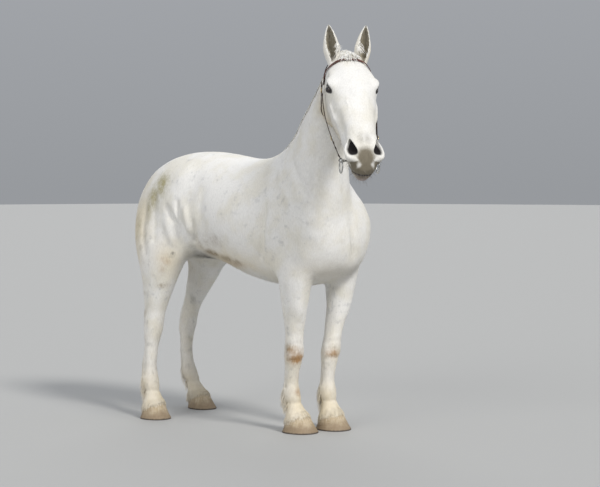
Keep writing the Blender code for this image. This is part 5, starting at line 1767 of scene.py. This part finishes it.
MANE_LOCKS, MANE_STATIONS = 2300, 8
crest = curve([neck_point(reach, up) for reach, up in CREST], 0.004)
along = random.uniform(0.13, 0.955, MANE_LOCKS)
clump = np.sin(along * 61) * 0.5 + np.sin(along * 143 + 1.3) * 0.5
picked = (along * (len(crest) - 1)).astype(int)
roots = crest[picked] + random.normal(0, 0.004, (MANE_LOCKS, 3))
side_way = -np.array(way(math.sin(NECK_YAW), math.cos(NECK_YAW), 0))
roots += side_way[None, :] * random.uniform(-0.018, 0.016, MANE_LOCKS)[:, None]
roots = np.array([surface.find_nearest(Vector(root))[0] for root in roots]) - (0, 0, 0.003)
first = side_way[None, :] * 1.0 + np.array((0, 0, 0.55)) + np.array(way(-0.25, 0, 0))
first = first + random.normal(0, 0.16, (MANE_LOCKS, 3))
swell = np.sin(np.pi * np.clip((along - 0.1) / 0.9, 0, 1)) ** 0.45
lengths = (0.15 + 0.03 * clump) * swell * random.uniform(0.6, 1.18, MANE_LOCKS) + 0.015
clear = random.uniform(0.0005, 0.0055, MANE_LOCKS)
paths = hang(roots, first, lengths, clear, MANE_STATIONS, 0.5, 0.6)
widths = random.uniform(0.0035, 0.008, MANE_LOCKS)
grow(
    "mane_hair", paths, facings_at(paths[:, 3]), widths, LONG_HAIR, "long_hair",
    0.2, 0.6, ["mane"], 0.75, 0.5,
)

FORELOCK_LOCKS, FORELOCK_STATIONS = 850, 7
middle = face(0.028, 0.0, 0)
spread = random.normal(0, 1, (FORELOCK_LOCKS, 2)) * (0.02, 0.02)
roots = np.array([middle + face_way(a, 0.03, b) for a, b in spread])
roots = np.array([surface.find_nearest(Vector(root))[0] for root in roots])
first = np.array(face_way(0.55, 0.9, 0)) + np.outer(spread[:, 1] * 22, np.array(FACE_LEFT))
first = first + random.normal(0, 0.22, (FORELOCK_LOCKS, 3))
lengths = random.uniform(0.03, 0.066, FORELOCK_LOCKS)
clear = random.uniform(0.001, 0.009, FORELOCK_LOCKS)
paths = hang(roots, first, lengths, clear, FORELOCK_STATIONS, 0.24)
widths = random.uniform(0.0028, 0.006, FORELOCK_LOCKS)
grow(
    "forelock_hair", paths, facings_at(paths[:, 2]), widths, LONG_HAIR, "long_hair",
    0.25, 0.6, ["forelock"], 0.7, 0.8,
)

# the tail's middle line and half sizes: forward, left, up, half width, half depth
TAIL = (
    (-0.86, -0.055, 1.59, 0.034, 0.028), (-0.925, -0.055, 1.535, 0.046, 0.036),
    (-0.968, -0.055, 1.45, 0.055, 0.042), (-0.985, -0.055, 1.3, 0.06, 0.045),
    (-0.975, -0.052, 1.12, 0.064, 0.048), (-0.958, -0.05, 0.94, 0.064, 0.048),
    (-0.945, -0.048, 0.76, 0.058, 0.044), (-0.938, -0.046, 0.62, 0.044, 0.034),
    (-0.935, -0.045, 0.52, 0.022, 0.018),
)
# its locks leave the dock, the tail's upper part
TAIL_LOCKS, TAIL_STATIONS, DOCK_SHARE = 2100, 13, 0.3
line = curve(TAIL, 0.01)
line[:, :3] = [at(*row[:3]) for row in line]
steps = np.linspace(0, 1, len(line))
start = DOCK_SHARE * random.random(TAIL_LOCKS) ** 1.2
finish_at = random.uniform(0.72, 1.0, TAIL_LOCKS)
turn, inward = random.uniform(0, 2 * math.pi, TAIL_LOCKS), random.random(TAIL_LOCKS) ** 0.45
t = np.linspace(0, 1, TAIL_STATIONS)[None, :]
share = start[:, None] + (finish_at - start)[:, None] * t
centres = np.stack([np.interp(share, steps, line[:, k]) for k in range(3)], 2)
half_width, half_depth = (np.interp(share, steps, line[:, k]) for k in (3, 4))
grown = inward[:, None] * (0.55 + 0.45 * smoothstep(0, 0.25, t))
wave = 0.1 * np.sin(7 * t + turn[:, None] * 3) + 0.06 * np.sin(17 * t + turn[:, None] * 5)
across = grown * np.cos(turn[:, None] + 0.25 * np.sin(5 * t)) + wave * t
deep = grown * np.sin(turn[:, None] + 0.25 * np.sin(5 * t)) + wave * t
paths = centres + np.array(way(0, 1, 0)) * (across * half_width)[:, :, None]
paths += np.array(way(-0.95, 0, 0.15)) * (deep * half_depth)[:, :, None]
outward = paths[:, 5] - centres[:, 5]
outward /= np.linalg.norm(outward, axis=1)[:, None]
widths = random.uniform(0.006, 0.012, TAIL_LOCKS)
grow(
    "tail_hair", paths, outward, widths, LONG_HAIR, "long_hair",
    0.3, 0.6, ["tail"], 0.35, 0.45,
)

# ---- Feather, fringes, whiskers and lashes ----
# A light feather hangs behind the fetlocks, longest up the left hind cannon. A fringe falls over
# each coronet, pale hair edges the ears, and a few stiff whiskers stand round the lips and eyes.


def rooted(
    points, first, lengths, clear, widths, stations, name, finish,
    weight=0.25, follow=0.0, flatness=0.2, sky=0.0,
):
    """Hair that leaves the skin its own way and hangs, as far as its weight bends it."""
    paths = hang(points, first, lengths, clear, stations, weight)
    facings = facings_at(points)
    grow(name, paths, facings, widths, finish, "coat", flatness, 0.65, (), follow, sky)


# how deep the roots sit, and the hairs in one leg's fringe
ROOT_DEPTH, FRINGE_HAIRS = 0.002, 1300
feather_roots, feather_ways, feather_lengths = [], [], []
fringe_roots, fringe_ways = [], []
for name in LEGS:
    leg = Leg(name)
    up, ahead, outside, mine = leg.locate(SKIN_MIDDLES)
    top = 0.46 if name == "hind_left" else 0.3
    behind = mine * smoothstep(0.000, -0.03, ahead)
    behind = behind * smoothstep(0.13, 0.17, up) * smoothstep(top, top - 0.08, up)
    count = 900 if name == "hind_left" else 520
    points, facings = scatter(count, behind)
    feather_roots.append(points - facings * ROOT_DEPTH)
    ways = facings * 0.55 - np.array(leg.ahead) * 0.35 + np.array((0, 0, -0.9))
    feather_ways.append(ways + random.normal(0, 0.14, points.shape))
    lower = smoothstep(0.34, 0.16, points[:, 2])
    feather_lengths.append((0.022 + 0.034 * lower) * random.uniform(0.6, 1.3, count))
    middle, slope, facing = leg.coronet()
    drop = (SKIN_MIDDLES - np.array(middle)) @ np.array(facing)
    facing_sign = 1 if facing.z > 0 else -1
    band_here = mine * np.exp(-((drop * facing_sign - 0.012) / 0.014) ** 2)
    points, facings = scatter(FRINGE_HAIRS, band_here)
    fringe_roots.append(points - facings * ROOT_DEPTH)
    fringe_ways.append(facings * 0.6 + np.array((0, 0, -1.0)) + random.normal(0, 0.12, points.shape))
points = np.concatenate(feather_roots)
widths = random.uniform(0.0022, 0.0045, len(points))
rooted(
    points, np.concatenate(feather_ways), np.concatenate(feather_lengths),
    np.full(len(points), 0.002), widths, 6, "feather_hair", COAT_HAIR, 0.3, 0.6, 0.2, 0.5,
)
points = np.concatenate(fringe_roots)
lengths = random.uniform(0.022, 0.05, len(points))
widths = random.uniform(0.0024, 0.0046, len(points))
rooted(
    points, np.concatenate(fringe_ways), lengths,
    np.full(len(points), 0.003), widths, 5, "coronet_fringe", COAT_HAIR, 0.25, 0.8, 0.2, 0.3,
)

EAR_HAIRS = 420
for side, which in SIDES:
    root, axis, front, sideways = ear_ways(side)
    rows = flow(EAR, 80)
    up = random.uniform(0.04, 0.93, EAR_HAIRS)
    edge = random.choice([-1, 1], EAR_HAIRS)
    radius, spread = (np.interp(up, rows[:, 0], rows[:, k]) for k in (1, 2))
    angle = np.radians(spread) * edge * random.uniform(0.8, 0.985, EAR_HAIRS)
    root, axis, front, sideways = (np.array(v) for v in (root, axis, front, sideways))
    middle = root + np.outer(up * EAR_LENGTH, axis) + np.outer(0.012 * up**2, front)
    rim = np.outer(np.sin(angle), sideways) - np.outer(0.8 * np.cos(angle), front)
    points = middle + rim * (radius * 0.9 - 0.002)[:, None]
    first = -rim * 0.35 + axis * 0.75 + front * 0.55 + random.normal(0, 0.16, points.shape)
    first /= np.linalg.norm(first, axis=1)[:, None]
    lengths = random.uniform(0.01, 0.022, EAR_HAIRS) * (1 - 0.45 * up)
    t = np.linspace(0, 1, 5)[None, :, None]
    bend = axis * 0.35 - rim * 0.25
    paths = points[:, None] + first[:, None] * lengths[:, None, None] * t
    paths = paths + bend[:, None] * lengths[:, None, None] * t**2
    facings = np.tile(front, (EAR_HAIRS, 1))
    widths = random.uniform(0.0012, 0.0024, EAR_HAIRS)
    grow(
        f"ear_{which}_hair", paths, facings, widths, LONG_HAIR, "coat",
        0.4, 0.7, (), 0.4, 0.3,
    )


def whisker_finish():
    """Stiff hair, grey or nearly black."""
    nodes = Nodes("whisker_hair")
    strand = mark(nodes, "strand")
    colour = mixed(nodes, stepped(strand, 0.3, 0.7), (0.34, 0.32, 0.3), (0.08, 0.07, 0.065))
    return nodes.finish(Base_Color=colour, Roughness=0.45 + strand * 0.1)


WHISKERS, WHISKER_HAIR = 150, whisker_finish()
chin = SKIN_HEAD * smoothstep(0.7, 0.76, SKIN_FACE[:, 0]) * smoothstep(-0.07, -0.12, SKIN_FACE[:, 1])
under_eye = 0
for side, _ in SIDES:
    away = away_from(SKIN_MIDDLES, EYE_SEAT[side] + face_way(0.03, -0.035, 0.01 * side))
    under_eye = under_eye + np.exp(-(away / 0.014) ** 2)
points, facings = scatter(WHISKERS, chin + under_eye * 0.5)
first = facings + np.array(FACE_DOWN) * 0.25 + random.normal(0, 0.15, points.shape)
lengths = random.uniform(0.018, 0.045, WHISKERS)
widths = random.uniform(0.0007, 0.0011, WHISKERS)
rooted(
    points - facings * ROOT_DEPTH, first, lengths, np.zeros(WHISKERS), widths, 7,
    "whiskers", WHISKER_HAIR, 0.07, 0, 0.9,
)

LASHES = 90
points, first = [], []
for side, _ in SIDES:
    facing, corner, upper = (np.array(v) for v in eye_ways(side))
    for u in np.linspace(-0.8, 0.85, LASHES // 2) * FISSURE:
        height = 0.0215 * (1 - (abs(u) / FISSURE) ** 1.75) ** (1 / 1.75)
        spot = corner * u + upper * (height + 0.0015)
        reach = math.sqrt(max((EYE_RADIUS + LID) ** 2 - spot @ spot, 1e-6))
        points.append(np.array(EYE_SEAT[side]) + spot + facing * reach)
        first.append(facing * 0.8 + upper * 0.25 + corner * (u / FISSURE * 0.35) + random.normal(0, 0.05, 3))
points, first = np.array(points), np.array(first)
lengths = random.uniform(0.01, 0.016, len(points))
widths = np.full(len(points), 0.0009)
rooted(
    points, first, lengths, np.zeros(len(points)), widths, 5,
    "eyelashes", WHISKER_HAIR, 0.28, 0, 0.9,
)
